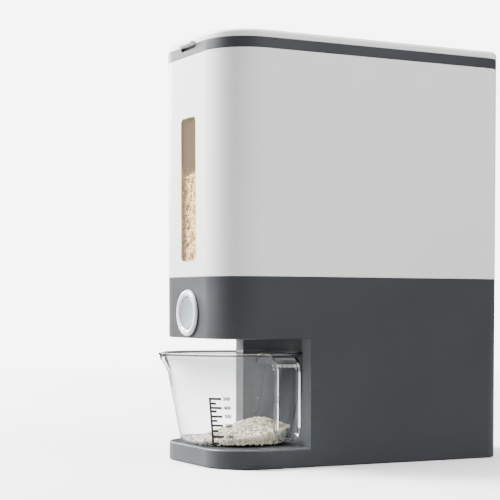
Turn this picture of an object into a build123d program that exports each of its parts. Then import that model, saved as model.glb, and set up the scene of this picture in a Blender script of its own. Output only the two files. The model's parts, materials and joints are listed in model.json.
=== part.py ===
from build123d import *
import os
from math import asin, cos, degrees, radians, sin, tan

# Countertop rice dispenser: a white tank on a grey housing with an open bay for a clear cup.
# Millimetres. -Y is the product's front, +X is to the right of someone facing it, +Z is up.
# The origin is the centre of the footprint, on the plane that the product stands on.

# ---------------------------------------------------------------- outer form
FOOT_WIDTH = 150.5
FOOT_DEPTH = 299.6
DRAFT_DEG = 0.41
FRONT_CORNER_R = 41.0
REAR_CORNER_R = 18.0
WALL = 2.5
HOUSING_FLOOR_Z = 0.8
SPLIT_Z = 172.8
TANK_TOP_Z = 378.4
BAND_HEIGHT = 9.6
EDGE_R = 1.6
TIGHTEST_CORNER_R = 2.0

# ---------------------------------------------------------------- bay for the cup
FOOT_TOP_Z = 17.4
BAY_CEILING_Z = 116.1
BAY_EDGE_BEHIND_CUP = 38.5
BAY_BACK_R = 71.0
CEILING_T = 3.5

# ---------------------------------------------------------------- underside
COVER_T = 2.5
COVER_GAP = 0.2
PAD_T = 1.5
PAD_INSET = 14.0
PAD_BAND = 12.0
POST_R = 4.2
END_POST_INSET = 29.8
FRONT_POST_IN = 30.25
MIDDLE_POST_BEHIND_BAY = 18.0
MIDDLE_POST_HEIGHT = 20.0

# ---------------------------------------------------------------- screws
SCREW_R = 1.5
SCREW_HEAD_R = 2.8
SCREW_HEAD_T = 1.8
SCREW_LENGTH = 8.0
SHORT_SCREW_LENGTH = 5.0
SCREW_GAP = 0.05
SLOT_W = 0.8
SLOT_DEEP = 0.7
TIE_SCREW_INSET = 6.5
TIE_BEHIND_OUTLET = 10.0
TAB_SIZE = 13.0
TAB_T = 3.0

# ---------------------------------------------------------------- level window
WINDOW_W = 32.0
WINDOW_BOTTOM_Z = 187.0
WINDOW_TOP_Z = 321.0
WINDOW_CORNER_R = 5.0
PANE_GAP = 0.2
PANE_SUNK = 1.0
PANE_FLANGE = 3.0
PANE_FLANGE_T = 1.5

# ---------------------------------------------------------------- hopper
THROAT_X = 36.0
THROAT_Y = 16.0
OUTLET_BEHIND_CUP = 11.5
HOPPER_T = 2.0
HOPPER_GAP = 0.2
FRONT_SLOPE_DEG = 30.0
REAR_SLOPE_DEG = 25.0
SIDE_SLOPE_DEG = 40.0
SLOPE_START_Z = 152.0
SIDE_START_Z = 160.0

# ---------------------------------------------------------------- gate
PIVOT_Z = 148.5
GATE_R = 24.0
GATE_T = 2.0
GATE_SEAL_GAP = 0.4
GATE_LAP_DEG = 2.2
GATE_SIDE_GAP = 0.6
GATE_PLATE_T = 2.2
HUB_R = 5.0
PIN_R = 2.5
PIN_RUN = 0.06
PIN_HEAD_R = 4.0
PIN_HEAD_T = 1.6
CRANK_PIN_R = 2.0
CRANK_LOBE_R = 4.0

# ---------------------------------------------------------------- button and push yoke
BUTTON_Z = 139.3
STROKE = 10.0
BEZEL_R = 21.5
BEZEL_BORE_R = 15.2
BEZEL_PROUD = 3.4
BEZEL_BARREL_R = 18.4
BEZEL_BARREL_LENGTH = 11.5
BEZEL_HOLE_GAP = 0.2
SPOT_FACE_DEEP = 0.5
SPOT_FACE_MARGIN = 0.6
CAP_GAP = 0.4
CAP_T = 2.5
CAP_SUNK = 1.8
CAP_SKIRT = 13.0
CAP_WALL = 2.0
CAP_DISH = 1.2
SOCKET_WALL = 1.2
SOCKET_DEEP = 4.0
ROD_R = 4.0
ROD_RUN = 0.06
YOKE_T = 3.0
YOKE_HEIGHT = 12.0
YOKE_GAP = 0.6
YOKE_BAR_T = 4.0
YOKE_BAR_TO_OUTLET = 25.0
SLOT_PLAY = 0.3
SLOT_SPARE = 1.0
YOKE_TAIL = 7.0

# ---------------------------------------------------------------- rod guide and spring
GUIDE_TO_OUTLET = 33.0
GUIDE_T = 6.0
GUIDE_W = 18.0
GUIDE_ABOVE_ROD = 4.0
GUIDE_FOOT_W = 42.0
GUIDE_FOOT_D = 10.0
GUIDE_FOOT_T = 2.5
SPRING_WIRE_R = 0.45
SPRING_MEAN_R = 6.2
SPRING_TURNS = 6
SPRING_SEAT_GAP = 0.3

# ---------------------------------------------------------------- gate frame and outlet
FRAME_T = 2.5
FRAME_MARGIN_X = 12.0
FRAME_MARGIN_Y = 6.0
FRAME_OPENING_GAP = 1.0
EAR_T = 3.0
EAR_GAP = 0.8
EAR_W = 14.0
EAR_OVER = 6.0
CHUTE_WALL = 1.5
CHUTE_MARGIN = 2.0
CHUTE_FLANGE = 4.0
CHUTE_FLANGE_T = 1.5
CHUTE_PROUD = 1.5
CHUTE_GAP = 0.2

# ---------------------------------------------------------------- collar and lid
COLLAR_BAND = 9.0
COLLAR_LIP = 6.0
COLLAR_LIP_T = 2.0
COLLAR_LIP_GAP = 0.2
NOTCH_W = 30.0
NOTCH_H = 3.8
NOTCH_DEEP = 3.2
LID_SEAM = 0.3
LID_HEIGHT = 7.2
LID_T = 2.0
LID_EDGE_R = 3.6
TAB_W = 30.0
TAB_PROUD = 4.2
TAB_LID_T = 2.4
TAB_LIFT = 0.4
PANEL_GAP = 0.2
PANEL_T = 2.0
PLUG_INSET = 11.5
PLUG_T = 2.0
PLUG_DEEP = 8.0
SEAL_GAP = 0.3
SEAL_HEIGHT = 3.0
SEAL_ABOVE_RIM = 2.0
HINGE_X = 45.0
HINGE_BACK = 1.0
KNUCKLE_R = 3.0
KNUCKLE_CLEAR = 0.5
KNUCKLE_MIDDLE = 14.0
KNUCKLE_SIDE = 7.0
KNUCKLE_GAP = 0.4
HINGE_PIN_R = 1.25
HINGE_PIN_RUN = 0.05

# ---------------------------------------------------------------- cup
CUP_BEHIND_FRONT = 48.3
CUP_REST_GAP = 0.2
CUP_BASE_R = 51.0
CUP_RIM_R = 67.5
CUP_TOP_Z = 103.0
CUP_WALL = 2.0
CUP_FLOOR_T = 2.5
CUP_CORNER_R = 9.0
CUP_BEAD_R = 1.4
SPOUT_REACH = 12.0
SPOUT_R = 14.0
SPOUT_START_Z = 62.0
SPOUT_START_R = 2.6
HANDLE_REACH = 105.0
HANDLE_W = 24.0
HANDLE_DEPTH = 7.0
HANDLE_WEB = 2.0
HANDLE_RIB = 2.0
HANDLE_BEND_R = 15.0
HANDLE_TOP_DROP = 1.0
HANDLE_END_Z = 27.5

# ---------------------------------------------------------------- worked out from the above
SLOPE = tan(radians(DRAFT_DEG))
FAR = 2.0 * FOOT_DEPTH
COLLAR_TOP_Z = TANK_TOP_Z + BAND_HEIGHT
LID_BOTTOM_Z = COLLAR_TOP_Z + LID_SEAM
LID_TOP_Z = LID_BOTTOM_Z + LID_HEIGHT
COVER_TOP_Z = HOUSING_FLOOR_Z + COVER_T
CEILING_TOP_Z = BAY_CEILING_Z + CEILING_T
FRAME_TOP_Z = CEILING_TOP_Z + FRAME_T

CUP_Y = CUP_BEHIND_FRONT - FOOT_DEPTH / 2
BAY_SIDE_EDGE_Y = CUP_Y + BAY_EDGE_BEHIND_CUP
OUTLET_Y = CUP_Y + OUTLET_BEHIND_CUP
GUIDE_Y = OUTLET_Y - GUIDE_TO_OUTLET
YOKE_BAR_Y = OUTLET_Y - YOKE_BAR_TO_OUTLET
TIE_FRONT_Y = OUTLET_Y + TIE_BEHIND_OUTLET
FRONT_POST_X = FOOT_WIDTH / 2 - FRONT_POST_IN
FRONT_POST_Y = END_POST_INSET - FOOT_DEPTH / 2
MIDDLE_POST_Y = BAY_SIDE_EDGE_Y + MIDDLE_POST_BEHIND_BAY
REAR_POST_Y = FOOT_DEPTH / 2 - END_POST_INSET

GATE_OUTER_R = GATE_R + GATE_T
THROAT_END_R = GATE_R - GATE_SEAL_GAP
THROAT_HALF_DEG = degrees(asin(THROAT_Y / 2 / THROAT_END_R))
GATE_HALF_DEG = THROAT_HALF_DEG + GATE_LAP_DEG
GATE_SWING_DEG = THROAT_HALF_DEG + GATE_HALF_DEG
CRANK_R = STROKE / (2 * sin(radians(GATE_SWING_DEG / 2)))
CRANK_PIN_Y = OUTLET_Y - STROKE / 2
CRANK_PIN_Z = PIVOT_Z - CRANK_R * cos(radians(GATE_SWING_DEG / 2))
CRANK_LOW_Z = PIVOT_Z - CRANK_R

PLATE_X0 = THROAT_X / 2 + HOPPER_T + GATE_SIDE_GAP
PLATE_X1 = PLATE_X0 + GATE_PLATE_T
YOKE_X0 = PLATE_X1 + YOKE_GAP
YOKE_X1 = YOKE_X0 + YOKE_T
EAR_X0 = YOKE_X1 + YOKE_GAP + EAR_GAP
EAR_X1 = EAR_X0 + EAR_T

FRONT_WALL_Y = -(FOOT_DEPTH / 2 + SLOPE * BUTTON_Z)
SPOT_FACE_Y = FRONT_WALL_Y + SPOT_FACE_DEEP
BEZEL_FRONT_Y = SPOT_FACE_Y - BEZEL_PROUD - SPOT_FACE_DEEP
CAP_FRONT_Y = BEZEL_FRONT_Y + CAP_SUNK
CAP_BACK_Y = CAP_FRONT_Y + CAP_T
CAP_R = BEZEL_BORE_R - CAP_GAP
GUIDE_FRONT_Y = GUIDE_Y - GUIDE_T / 2

HINGE_Y = FOOT_DEPTH / 2 + SLOPE * COLLAR_TOP_Z + HINGE_BACK
HINGE_Z = COLLAR_TOP_Z + LID_SEAM / 2

CUP_BASE_Z = FOOT_TOP_Z + CUP_REST_GAP


# ---------------------------------------------------------------- shared shapes
def half_width(z):
    """Half the body's width at a height."""
    return FOOT_WIDTH / 2 + SLOPE * z


def half_depth(z):
    """Half the body's depth at a height."""
    return FOOT_DEPTH / 2 + SLOPE * z


def block(x0, x1, y0, y1, z0, z1):
    """Box between two corners."""
    middle = Pos((x0 + x1) / 2, (y0 + y1) / 2, (z0 + z1) / 2)
    return middle * Box(x1 - x0, y1 - y0, z1 - z0)


def upright(x, y, z0, z1, radius):
    """Upright cylinder between two heights."""
    return Pos(x, y, (z0 + z1) / 2) * Cylinder(radius, z1 - z0)


def along_x(y, z, x0, x1, radius):
    """Cylinder lying along X."""
    return Pos((x0 + x1) / 2, y, z) * Rot(0, 90, 0) * Cylinder(radius, x1 - x0)


def along_y(x, z, y0, y1, radius):
    """Cylinder lying along Y."""
    return Pos(x, (y0 + y1) / 2, z) * Rot(90, 0, 0) * Cylinder(radius, y1 - y0)


def outline(z, inset):
    """The body's outline at a height: round front corners, tighter rear corners."""
    width = 2 * (half_width(z) - inset)
    depth = 2 * (half_depth(z) - inset)
    sheet = Plane.XY.offset(z) * Rectangle(width, depth)
    front = [v for v in sheet.vertices() if v.Y < 0]
    sheet = fillet(front, max(FRONT_CORNER_R + SLOPE * z - inset, TIGHTEST_CORNER_R))
    rear = [v for v in sheet.vertices() if abs(v.Y - depth / 2) < 0.001]
    return fillet(rear, max(REAR_CORNER_R + SLOPE * z - inset, TIGHTEST_CORNER_R))


def body_block(z0, z1, inset):
    """Solid with the body's drafted outline, drawn in by inset, between two heights."""
    return extrude(outline(z0, inset), amount=z1 - z0, taper=-DRAFT_DEG)


def body_ring(z0, z1, outer_inset, inner_inset):
    """Drafted ring that follows the body's outline."""
    return body_block(z0, z1, outer_inset) - body_block(z0 - 1, z1 + 1, inner_inset)


def mirrored(shape):
    """A shape and its copy on the other side of the middle plane."""
    return [shape, mirror(shape, Plane.YZ)]


def screw(x, y, seat_z, length, head_up):
    """Round-head screw with a slot, its head seated at a height."""
    way = 1 if head_up else -1
    head = Pos(x, y, seat_z + way * SCREW_HEAD_T / 2) * Cylinder(SCREW_HEAD_R, SCREW_HEAD_T)
    shank = Pos(x, y, seat_z - way * length / 2) * Cylinder(SCREW_R - SCREW_GAP, length)
    slot_z = seat_z + way * (SCREW_HEAD_T - SLOT_DEEP / 2)
    slot = Pos(x, y, slot_z) * Box(2 * SCREW_HEAD_R, SLOT_W, SLOT_DEEP)
    return head + shank - slot


def cover_screw_places():
    """Where the bottom cover is screwed up into the housing."""
    middle_x = half_width(HOUSING_FLOOR_Z) - TIE_SCREW_INSET
    rows = [(FRONT_POST_X, FRONT_POST_Y), (middle_x, MIDDLE_POST_Y), (middle_x, REAR_POST_Y)]
    return [(side * x, y) for x, y in rows for side in (-1, 1)]


def tie_screw_places():
    """Where the tank's tabs are screwed down to the housing's posts."""
    x = half_width(SPLIT_Z) - TIE_SCREW_INSET
    return [(side * x, y) for y in (TIE_FRONT_Y, REAR_POST_Y) for side in (-1, 1)]


# ---------------------------------------------------------------- housing
def bay(grow, floor_t, ceiling_t):
    """The cup's bay, grown by the wall that lines it."""
    z0 = FOOT_TOP_Z - floor_t
    z1 = BAY_CEILING_Z + ceiling_t
    front_part = block(-FAR / 2, FAR / 2, -FAR, BAY_SIDE_EDGE_Y + grow, z0, z1)
    return front_part + upright(0, CUP_Y, z0, z1, BAY_BACK_R + grow)


def posts():
    """Screw posts inside the housing, each tied to its wall."""
    made = []
    for x, y in cover_screw_places():
        side = 1 if x > 0 else -1
        top = COVER_TOP_Z + MIDDLE_POST_HEIGHT
        if y == FRONT_POST_Y:
            top = FOOT_TOP_Z - WALL
        if y == REAR_POST_Y:
            top = SPLIT_Z
        made.append(upright(x, y, COVER_TOP_Z, top, POST_R))
        if y != FRONT_POST_Y:
            edge = side * half_width(HOUSING_FLOOR_Z)
            made.append(block(min(x, edge), max(x, edge), y - WALL / 2, y + WALL / 2, COVER_TOP_Z, top))
    for x, y in tie_screw_places():
        side = 1 if x > 0 else -1
        bottom = CEILING_TOP_Z if y == TIE_FRONT_Y else SPLIT_Z - MIDDLE_POST_HEIGHT
        edge = side * (half_width(bottom) - WALL / 2)
        made.append(upright(x, y, bottom, SPLIT_Z, POST_R))
        made.append(block(min(x, edge), max(x, edge), y - WALL / 2, y + WALL / 2, bottom, SPLIT_Z))
    return made


def base_housing():
    """Grey lower shell: side walls, foot plate, bay lining, overhang and screw posts."""
    outer = body_block(HOUSING_FLOOR_Z, SPLIT_Z, 0) - bay(0, 0, 0)
    lip_edges = [
        e for e in outer.edges()
        if e.center().Y < BAY_SIDE_EDGE_Y - 1
        and (abs(e.center().Z - FOOT_TOP_Z) < 0.01 or abs(e.center().Z - BAY_CEILING_Z) < 0.01)
    ]
    outer = fillet(lip_edges, EDGE_R)
    hollow = body_block(HOUSING_FLOOR_Z - 1, SPLIT_Z + 1, WALL) - bay(WALL, WALL, CEILING_T)
    shell = outer - hollow
    for post in posts():
        shell += post & body_block(HOUSING_FLOOR_Z, SPLIT_Z, WALL / 2)
    shell -= block(-FAR, FAR, -FAR, FAR, SPLIT_Z, SPLIT_Z + FAR)
    for x, y in cover_screw_places():
        shell -= upright(x, y, HOUSING_FLOOR_Z, COVER_TOP_Z + SCREW_LENGTH - COVER_T + SCREW_HEAD_T, SCREW_R)
    for x, y in tie_screw_places():
        shell -= upright(x, y, SPLIT_Z - SCREW_LENGTH, SPLIT_Z + 1, SCREW_R)
    for x, y in frame_screw_places() + guide_screw_places():
        shell -= upright(x, y, FRAME_TOP_Z - SHORT_SCREW_LENGTH - CHUTE_GAP, CEILING_TOP_Z + 1, SCREW_R)
    shell -= along_y(0, BUTTON_Z, FRONT_WALL_Y - WALL, FRONT_WALL_Y + 2 * WALL, BEZEL_BARREL_R + BEZEL_HOLE_GAP)
    shell -= along_y(0, BUTTON_Z, FRONT_WALL_Y - WALL, SPOT_FACE_Y, BEZEL_R + SPOT_FACE_MARGIN)
    hole_x = THROAT_X / 2 + CHUTE_MARGIN + CHUTE_WALL + CHUTE_GAP
    hole_y = THROAT_Y / 2 + CHUTE_MARGIN + CHUTE_WALL + CHUTE_GAP
    shell -= block(-hole_x, hole_x, OUTLET_Y - hole_y, OUTLET_Y + hole_y, BAY_CEILING_Z - 1, CEILING_TOP_Z + 1)
    return shell


def base_bottom_cover():
    """Plate that closes the underside, with a groove for the rubber ring."""
    plate = body_block(HOUSING_FLOOR_Z, COVER_TOP_Z, WALL + COVER_GAP)
    groove_z = PAD_T
    plate -= body_ring(HOUSING_FLOOR_Z - 1, groove_z, PAD_INSET, PAD_INSET + PAD_BAND)
    for x, y in cover_screw_places():
        plate -= upright(x, y, HOUSING_FLOOR_Z - 1, COVER_TOP_Z + 1, SCREW_R)
        plate -= upright(x, y, HOUSING_FLOOR_Z - 1, HOUSING_FLOOR_Z + SCREW_HEAD_T, SCREW_HEAD_R + COVER_GAP)
    return plate


def anti_slip_pad():
    """Rubber ring under the cover: the one thing that touches the table."""
    ring = body_ring(0, PAD_T, PAD_INSET + COVER_GAP, PAD_INSET + PAD_BAND - COVER_GAP)
    for x, y in cover_screw_places():
        ring -= upright(x, y, -1, PAD_T + 1, SCREW_HEAD_R + 2 * COVER_GAP)
    return ring


def cover_screws():
    """Screws of the bottom cover, heads down."""
    seat = HOUSING_FLOOR_Z + SCREW_HEAD_T
    return [screw(x, y, seat, SCREW_LENGTH, False) for x, y in cover_screw_places()]


# ---------------------------------------------------------------- tank
def window_block(margin):
    """Upright slot shape through the front wall, larger by a margin all round."""
    height = WINDOW_TOP_Z - WINDOW_BOTTOM_Z + 2 * margin
    face = Plane.XZ * RectangleRounded(WINDOW_W + 2 * margin, height, WINDOW_CORNER_R + margin)
    slab = extrude(face, amount=FOOT_DEPTH)
    return Pos(0, 0, (WINDOW_TOP_Z + WINDOW_BOTTOM_Z) / 2) * slab


def tank_shell():
    """White upper shell with the window slot and four screw tabs."""
    shell = body_ring(SPLIT_Z, TANK_TOP_Z, 0, WALL)
    inside = body_block(SPLIT_Z, TANK_TOP_Z, WALL / 2)
    for x, y in tie_screw_places():
        tab = Pos(x, y, SPLIT_Z + TAB_T / 2) * Box(TAB_SIZE, TAB_SIZE, TAB_T)
        shell += tab & inside
        shell -= upright(x, y, SPLIT_Z - 1, SPLIT_Z + TAB_T + 1, SCREW_R)
    return shell - window_block(0)


def tank_screws():
    """Screws that tie the tank's tabs to the housing, heads up."""
    seat = SPLIT_Z + TAB_T
    return [screw(x, y, seat, SCREW_LENGTH, True) for x, y in tie_screw_places()]


def window_pane():
    """Clear pane: a plug in the slot and a flange glued behind the wall."""
    plug = window_block(-PANE_GAP) & body_ring(SPLIT_Z, TANK_TOP_Z, PANE_SUNK, WALL)
    flange = window_block(PANE_FLANGE) & body_ring(SPLIT_Z, TANK_TOP_Z, WALL, WALL + PANE_FLANGE_T)
    return plug + flange


def slope_profile(start, low, high, reach, low_deg, high_deg, low_z, high_z, grow):
    """Closed outline of a trough: a throat between low and high, with a slope on each side.

    Coordinates are (distance, height), and grow moves every side out by that much.
    """
    low_rise = tan(radians(low_deg))
    high_rise = tan(radians(high_deg))
    low_top = low_z - grow / cos(radians(low_deg)) + grow * low_rise
    high_top = high_z - grow / cos(radians(high_deg)) + grow * high_rise
    peak = max(low_top + reach * low_rise, high_top + reach * high_rise)
    points = [
        (low - grow, start),
        (high + grow, start),
        (high + grow, high_top),
        (high + grow + reach, high_top + reach * high_rise),
        (high + grow + reach, peak + 1),
        (low - grow - reach, peak + 1),
        (low - grow - reach, low_top + reach * low_rise),
        (low - grow, low_top),
    ]
    return make_face(Polyline(*points, close=True))


def funnel(grow):
    """The space inside the hopper, or the same space grown by the hopper's wall."""
    start = PIVOT_Z - GATE_OUTER_R
    front = OUTLET_Y - THROAT_Y / 2
    back = OUTLET_Y + THROAT_Y / 2
    side_view = slope_profile(
        start, front, back, FOOT_DEPTH, FRONT_SLOPE_DEG, REAR_SLOPE_DEG, SLOPE_START_Z, SLOPE_START_Z, grow
    )
    front_view = slope_profile(
        start, -THROAT_X / 2, THROAT_X / 2, FOOT_DEPTH,
        SIDE_SLOPE_DEG, SIDE_SLOPE_DEG, SIDE_START_Z, SIDE_START_Z, grow
    )
    trough_x = extrude(Plane.YZ * side_view, amount=FOOT_WIDTH, both=True)
    trough_y = extrude(Plane.XZ * front_view, amount=FOOT_DEPTH, both=True)
    return trough_x & trough_y


def hopper():
    """Sloping tank floor: four planes that run to the throat above the gate."""
    shell = funnel(HOPPER_T) - funnel(0)
    shell &= body_block(PIVOT_Z - GATE_OUTER_R, TANK_TOP_Z, WALL + HOPPER_GAP)
    below_pivot = block(-FAR, FAR, OUTLET_Y - FAR, OUTLET_Y + FAR, PIVOT_Z - 2 * GATE_R, PIVOT_Z)
    reach = along_x(OUTLET_Y, PIVOT_Z, -FAR, FAR, THROAT_END_R)
    return shell - (below_pivot - reach)


# ---------------------------------------------------------------- outlet and gate
def chute_half():
    """Half sizes of the opening in the outlet chute."""
    return THROAT_X / 2 + CHUTE_MARGIN, THROAT_Y / 2 + CHUTE_MARGIN


def outlet_chute():
    """Nozzle through the bay's ceiling, with a flange that rests on it."""
    hx, hy = chute_half()
    low = BAY_CEILING_Z - CHUTE_PROUD
    top = CEILING_TOP_Z + CHUTE_FLANGE_T
    tube = block(
        -hx - CHUTE_WALL, hx + CHUTE_WALL, OUTLET_Y - hy - CHUTE_WALL, OUTLET_Y + hy + CHUTE_WALL, low, top
    )
    flange = block(
        -hx - CHUTE_FLANGE, hx + CHUTE_FLANGE, OUTLET_Y - hy - CHUTE_FLANGE, OUTLET_Y + hy + CHUTE_FLANGE,
        CEILING_TOP_Z, top
    )
    return tube + flange - block(-hx, hx, OUTLET_Y - hy, OUTLET_Y + hy, low - 1, top + 1)


def frame_opening():
    """Half sizes of the opening in the gate frame, round the chute's flange."""
    hx, hy = chute_half()
    return hx + CHUTE_FLANGE + FRAME_OPENING_GAP, hy + CHUTE_FLANGE + FRAME_OPENING_GAP


def frame_half():
    """Half sizes of the gate frame's plate."""
    ox, oy = frame_opening()
    return max(ox, EAR_X1) + FRAME_MARGIN_X, oy + FRAME_MARGIN_Y


def frame_screw_places():
    """The gate frame's four corners."""
    fx, fy = frame_half()
    x = fx - FRAME_MARGIN_X / 2
    y = fy - FRAME_MARGIN_Y
    return [(sx * x, OUTLET_Y + sy * y) for sx in (-1, 1) for sy in (-1, 1)]


def guide_screw_places():
    """The two feet of the rod guide."""
    x = (GUIDE_W / 2 + GUIDE_FOOT_W / 2) / 2
    return [(-x, GUIDE_Y), (x, GUIDE_Y)]


def gate_frame():
    """Bracket on the ceiling with two ears that carry the gate."""
    fx, fy = frame_half()
    ox, oy = frame_opening()
    body = block(-fx, fx, OUTLET_Y - fy, OUTLET_Y + fy, CEILING_TOP_Z, FRAME_TOP_Z)
    body -= block(-ox, ox, OUTLET_Y - oy, OUTLET_Y + oy, CEILING_TOP_Z - 1, FRAME_TOP_Z + 1)
    for side in (-1, 1):
        x0, x1 = sorted((side * EAR_X0, side * EAR_X1))
        body += block(x0, x1, OUTLET_Y - EAR_W / 2, OUTLET_Y + EAR_W / 2, CEILING_TOP_Z, PIVOT_Z)
        body += along_x(OUTLET_Y, PIVOT_Z, x0, x1, EAR_OVER)
        body -= along_x(OUTLET_Y, PIVOT_Z, x0 - 1, x1 + 1, PIN_R)
    for x, y in frame_screw_places():
        body -= upright(x, y, CEILING_TOP_Z - 1, FRAME_TOP_Z + 1, SCREW_R)
    return body


def gate_pivot_pins():
    """Headed pins through the ears into the gate's hubs."""
    shank = along_x(OUTLET_Y, PIVOT_Z, PLATE_X0, EAR_X1 + PIN_HEAD_T / 2, PIN_R)
    head = along_x(OUTLET_Y, PIVOT_Z, EAR_X1, EAR_X1 + PIN_HEAD_T, PIN_HEAD_R)
    return mirrored(shank + head)


def rice_gate():
    """Sector shutter: a curved plate on two side plates, with hubs and crank pins."""
    side_view = Plane.YZ * Pos(OUTLET_Y, PIVOT_Z) * make_face(
        Polyline(
            (0, 0),
            (-2 * GATE_OUTER_R * sin(radians(GATE_HALF_DEG)), -2 * GATE_OUTER_R * cos(radians(GATE_HALF_DEG))),
            (2 * GATE_OUTER_R * sin(radians(GATE_HALF_DEG)), -2 * GATE_OUTER_R * cos(radians(GATE_HALF_DEG))),
            close=True,
        )
    )
    wedge = extrude(side_view, amount=PLATE_X1, both=True)
    disc = along_x(OUTLET_Y, PIVOT_Z, -PLATE_X1, PLATE_X1, GATE_OUTER_R)
    gap = block(-PLATE_X0, PLATE_X0, OUTLET_Y - FAR, OUTLET_Y + FAR, PIVOT_Z - GATE_R, PIVOT_Z + GATE_R)
    inner = along_x(OUTLET_Y, PIVOT_Z, -PLATE_X0, PLATE_X0, GATE_R)
    gate = (wedge & disc) - (gap & inner)
    for side in (-1, 1):
        x0, x1 = sorted((side * PLATE_X0, side * PLATE_X1))
        gate += along_x(CRANK_PIN_Y, CRANK_PIN_Z, x0, x1, CRANK_LOBE_R)
        hub0, hub1 = sorted((side * PLATE_X0, side * (EAR_X0 - YOKE_GAP)))
        gate += along_x(OUTLET_Y, PIVOT_Z, hub0, hub1, HUB_R)
        pin0, pin1 = sorted((side * PLATE_X1, side * (YOKE_X1 + YOKE_GAP)))
        gate += along_x(CRANK_PIN_Y, CRANK_PIN_Z, pin0, pin1, CRANK_PIN_R)
        gate -= along_x(OUTLET_Y, PIVOT_Z, hub0 - 1, hub1 + 1, PIN_R + PIN_RUN)
    return gate


# ---------------------------------------------------------------- button, yoke, guide, spring
def button_bezel():
    """White domed ring with a barrel that guides the button."""
    crest_r = (BEZEL_R + BEZEL_BORE_R) / 2
    rim_y = SPOT_FACE_Y - BEZEL_PROUD / 2
    dome = ThreePointArc((BEZEL_R, rim_y), (crest_r, BEZEL_FRONT_Y), (BEZEL_BORE_R, rim_y))
    barrel_y = SPOT_FACE_Y + BEZEL_BARREL_LENGTH
    rest = Polyline(
        (BEZEL_BORE_R, rim_y),
        (BEZEL_BORE_R, barrel_y),
        (BEZEL_BARREL_R, barrel_y),
        (BEZEL_BARREL_R, SPOT_FACE_Y),
        (BEZEL_R, SPOT_FACE_Y),
        (BEZEL_R, rim_y),
    )
    return Pos(0, 0, BUTTON_Z) * revolve(make_face([dome, rest]), Axis.Y)


def button_cap():
    """Dished push button with a skirt and a socket for the rod."""
    back = CAP_FRONT_Y + CAP_SKIRT
    cap = along_y(0, BUTTON_Z, CAP_FRONT_Y, back, CAP_R)
    cap -= along_y(0, BUTTON_Z, CAP_BACK_Y, back + 1, CAP_R - CAP_WALL)
    cap += along_y(0, BUTTON_Z, CAP_BACK_Y, CAP_BACK_Y + SOCKET_DEEP, ROD_R + SOCKET_WALL)
    cap -= along_y(0, BUTTON_Z, CAP_BACK_Y, CAP_BACK_Y + SOCKET_DEEP + 1, ROD_R)
    dish_reach = CAP_R - CAP_WALL / 2
    ball_r = (dish_reach ** 2 + CAP_DISH ** 2) / (2 * CAP_DISH)
    cap -= Pos(0, CAP_FRONT_Y + CAP_DISH - ball_r, BUTTON_Z) * Sphere(ball_r)
    return cap


def push_yoke():
    """Push rod with a fork whose upright slots drive the gate's crank pins."""
    yoke_top = BUTTON_Z + YOKE_HEIGHT / 6
    yoke_bottom = yoke_top - YOKE_HEIGHT
    bar_back = YOKE_BAR_Y + YOKE_BAR_T / 2
    yoke = along_y(0, BUTTON_Z, CAP_BACK_Y, bar_back, ROD_R)
    yoke += block(-YOKE_X1, YOKE_X1, YOKE_BAR_Y - YOKE_BAR_T / 2, bar_back, yoke_bottom, BUTTON_Z + ROD_R)
    slot_half = CRANK_PIN_R + SLOT_PLAY
    slot_low = CRANK_LOW_Z - CRANK_PIN_R - SLOT_SPARE
    slot_high = CRANK_PIN_Z + CRANK_PIN_R + SLOT_SPARE
    for side in (-1, 1):
        x0, x1 = sorted((side * YOKE_X0, side * YOKE_X1))
        yoke += block(x0, x1, YOKE_BAR_Y, CRANK_PIN_Y + YOKE_TAIL, yoke_bottom, yoke_top)
        yoke -= block(x0 - 1, x1 + 1, CRANK_PIN_Y - slot_half, CRANK_PIN_Y + slot_half, slot_low, slot_high)
    return yoke


def rod_guide():
    """Upright on two feet that the push rod slides in."""
    front, back = GUIDE_Y - GUIDE_T / 2, GUIDE_Y + GUIDE_T / 2
    top = BUTTON_Z + ROD_R + GUIDE_ABOVE_ROD
    guide = block(-GUIDE_W / 2, GUIDE_W / 2, front, back, CEILING_TOP_Z, top)
    foot_front, foot_back = GUIDE_Y - GUIDE_FOOT_D / 2, GUIDE_Y + GUIDE_FOOT_D / 2
    foot_top = CEILING_TOP_Z + GUIDE_FOOT_T
    guide += block(-GUIDE_FOOT_W / 2, GUIDE_FOOT_W / 2, foot_front, foot_back, CEILING_TOP_Z, foot_top)
    for x, y in guide_screw_places():
        guide -= upright(x, y, CEILING_TOP_Z - 1, foot_top + 1, SCREW_R)
    return guide - along_y(0, BUTTON_Z, front - 1, back + 1, ROD_R + ROD_RUN)


def mechanism_screws():
    """Short screws of the gate frame and the rod guide, heads up."""
    frame_set = [screw(x, y, FRAME_TOP_Z, SHORT_SCREW_LENGTH, True) for x, y in frame_screw_places()]
    guide_seat = CEILING_TOP_Z + GUIDE_FOOT_T
    return frame_set + [screw(x, y, guide_seat, SHORT_SCREW_LENGTH, True) for x, y in guide_screw_places()]


def return_spring():
    """Coil spring round the rod, between the button and the guide."""
    front = CAP_BACK_Y + SPRING_SEAT_GAP + SPRING_WIRE_R
    back = GUIDE_FRONT_Y - SPRING_SEAT_GAP - SPRING_WIRE_R
    length = back - front
    coil = Helix(pitch=length / SPRING_TURNS, height=length, radius=SPRING_MEAN_R)
    wire = sweep(Plane(coil @ 0, z_dir=coil % 0) * Circle(SPRING_WIRE_R), path=coil)
    return Pos(0, back, BUTTON_Z) * Rot(90, 0, 0) * wire


# ---------------------------------------------------------------- collar and lid
def knuckle_spans():
    """X spans of each hinge: the collar's middle knuckle and the lid's two outer ones."""
    middle = (HINGE_X - KNUCKLE_MIDDLE / 2, HINGE_X + KNUCKLE_MIDDLE / 2)
    inner = (middle[0] - KNUCKLE_GAP - KNUCKLE_SIDE, middle[0] - KNUCKLE_GAP)
    outer = (middle[1] + KNUCKLE_GAP, middle[1] + KNUCKLE_GAP + KNUCKLE_SIDE)
    return middle, [inner, outer]


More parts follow.
